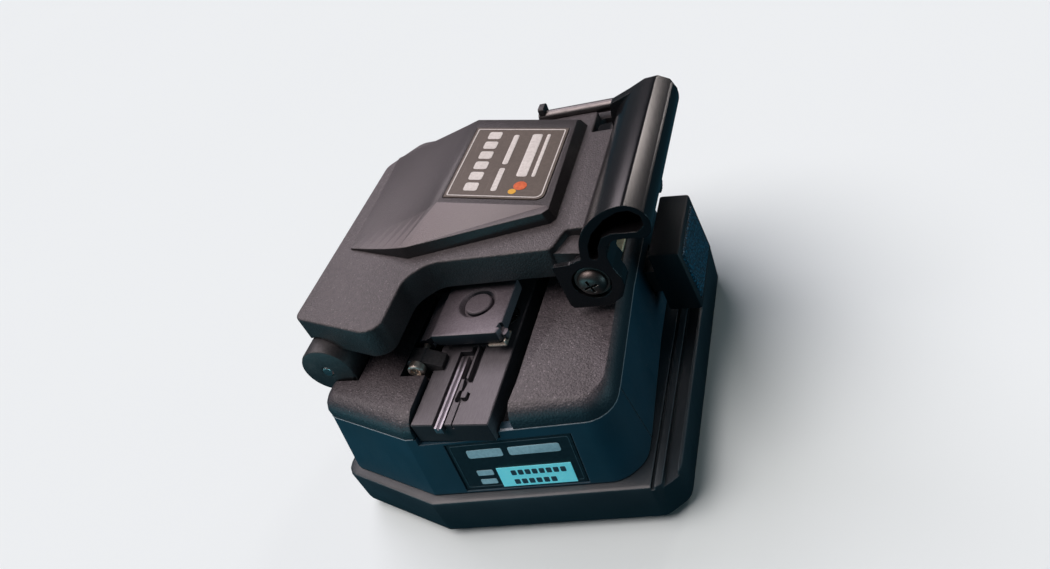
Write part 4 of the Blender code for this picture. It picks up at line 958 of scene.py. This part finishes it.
world = bpy.data.worlds.new("studio")
bpy.context.scene.world = world
world.use_nodes = True
g = Graph(world.node_tree)
backdrop = {"Color": (0.9, 0.9, 0.9), "Strength": 1.0}
ambient = {"Color": (0.6, 0.85, 1.0), "Strength": 0.08}
shaders = [g.node("ShaderNodeBackground", ins).outputs[0] for ins in (backdrop, ambient)]
g.node("ShaderNodeOutputWorld", {"Surface": g.camera_switch(*shaders)})


# ================================================================ lights, in metres
def add_light(name, kind, at, target, energy, color, **settings):
    data = bpy.data.lights.new(name, kind)
    data.energy, data.color = energy, color
    for key, value in settings.items():
        setattr(data, key, value)
    ob = bpy.data.objects.new(name, data)
    bpy.context.scene.collection.objects.link(ob)
    ob.location = at
    ob.rotation_euler = (Vector(target) - ob.location).to_track_quat("-Z", "Y").to_euler()
    return ob


def sun(name, direction, energy, degrees, color):
    """direction points from the object to the sun; degrees is its apparent size."""
    add_light(name, "SUN", direction, (0, 0, 0), energy, color, angle=math.radians(degrees))


def area(name, at, target, width, height, energy, color):
    ob = add_light(name, "AREA", at, target, energy, color, shape="RECTANGLE", size=width,
                   size_y=height)
    ob.visible_camera = False
    return ob


sun("overhead_softbox", direction=(-0.41, -0.20, 0.89), energy=2.5, degrees=48,
    color=(1.0, 0.87, 0.86))
sun("back_left_sheen", direction=(-0.50, 0.53, 0.69), energy=1.35, degrees=40,
    color=(1.0, 0.88, 0.95))
sun("handle_highlight", direction=(0.27, 0.81, 0.51), energy=0.21, degrees=8,
    color=(1.0, 0.90, 0.86))
sun("handle_highlight_right", direction=(0.50, 0.83, 0.24), energy=0.07, degrees=5,
    color=(1.0, 0.92, 0.90))
fills = [
    area("low_front_bounce", at=(-0.10, -0.19, 0.014), target=(0.0, -0.047, 0.018),
         width=0.26, height=0.022, energy=0.085, color=(0.30, 0.85, 1.0)),
    area("low_right_bounce", at=(0.26, -0.02, 0.03), target=(0.04, 0.0, 0.02),
         width=0.26, height=0.03, energy=0.12, color=(0.50, 0.87, 1.0)),
]
# the two fills light the object only, so that they leave no patch on the floor
lit = bpy.data.collections.new("lit_by_fills")
for ob in bpy.context.scene.objects:
    if ob.type == "MESH" and ob != floor:
        lit.objects.link(ob)
for fill in fills:
    fill.light_linking.receiver_collection = lit

# ================================================================ camera
AZIMUTH, ELEVATION, ROLL = (math.radians(a) for a in (31.09, 37.41, 25.35))
forward = Vector((-math.sin(AZIMUTH) * math.cos(ELEVATION),
                  math.cos(AZIMUTH) * math.cos(ELEVATION), -math.sin(ELEVATION)))
right = forward.cross(Vector((0, 0, 1))).normalized()
down = forward.cross(right)
rolled_right = right * math.cos(ROLL) + down * math.sin(ROLL)
rolled_up = right * math.sin(ROLL) - down * math.cos(ROLL)
pose = Matrix((rolled_right, rolled_up, -forward)).transposed().to_4x4()
pose.translation = place(84.86242, -88.87286, 116.38372)

lens = bpy.data.cameras.new("photo_camera")
lens.sensor_width, lens.lens, lens.clip_start = 36.0, 27.469714, 0.002
camera = bpy.data.objects.new("photo_camera", lens)
bpy.context.scene.collection.objects.link(camera)
camera.matrix_world = pose
bpy.context.scene.camera = camera
bpy.context.scene.view_settings.view_transform = "Standard"
bpy.context.scene.view_settings.look = "None"
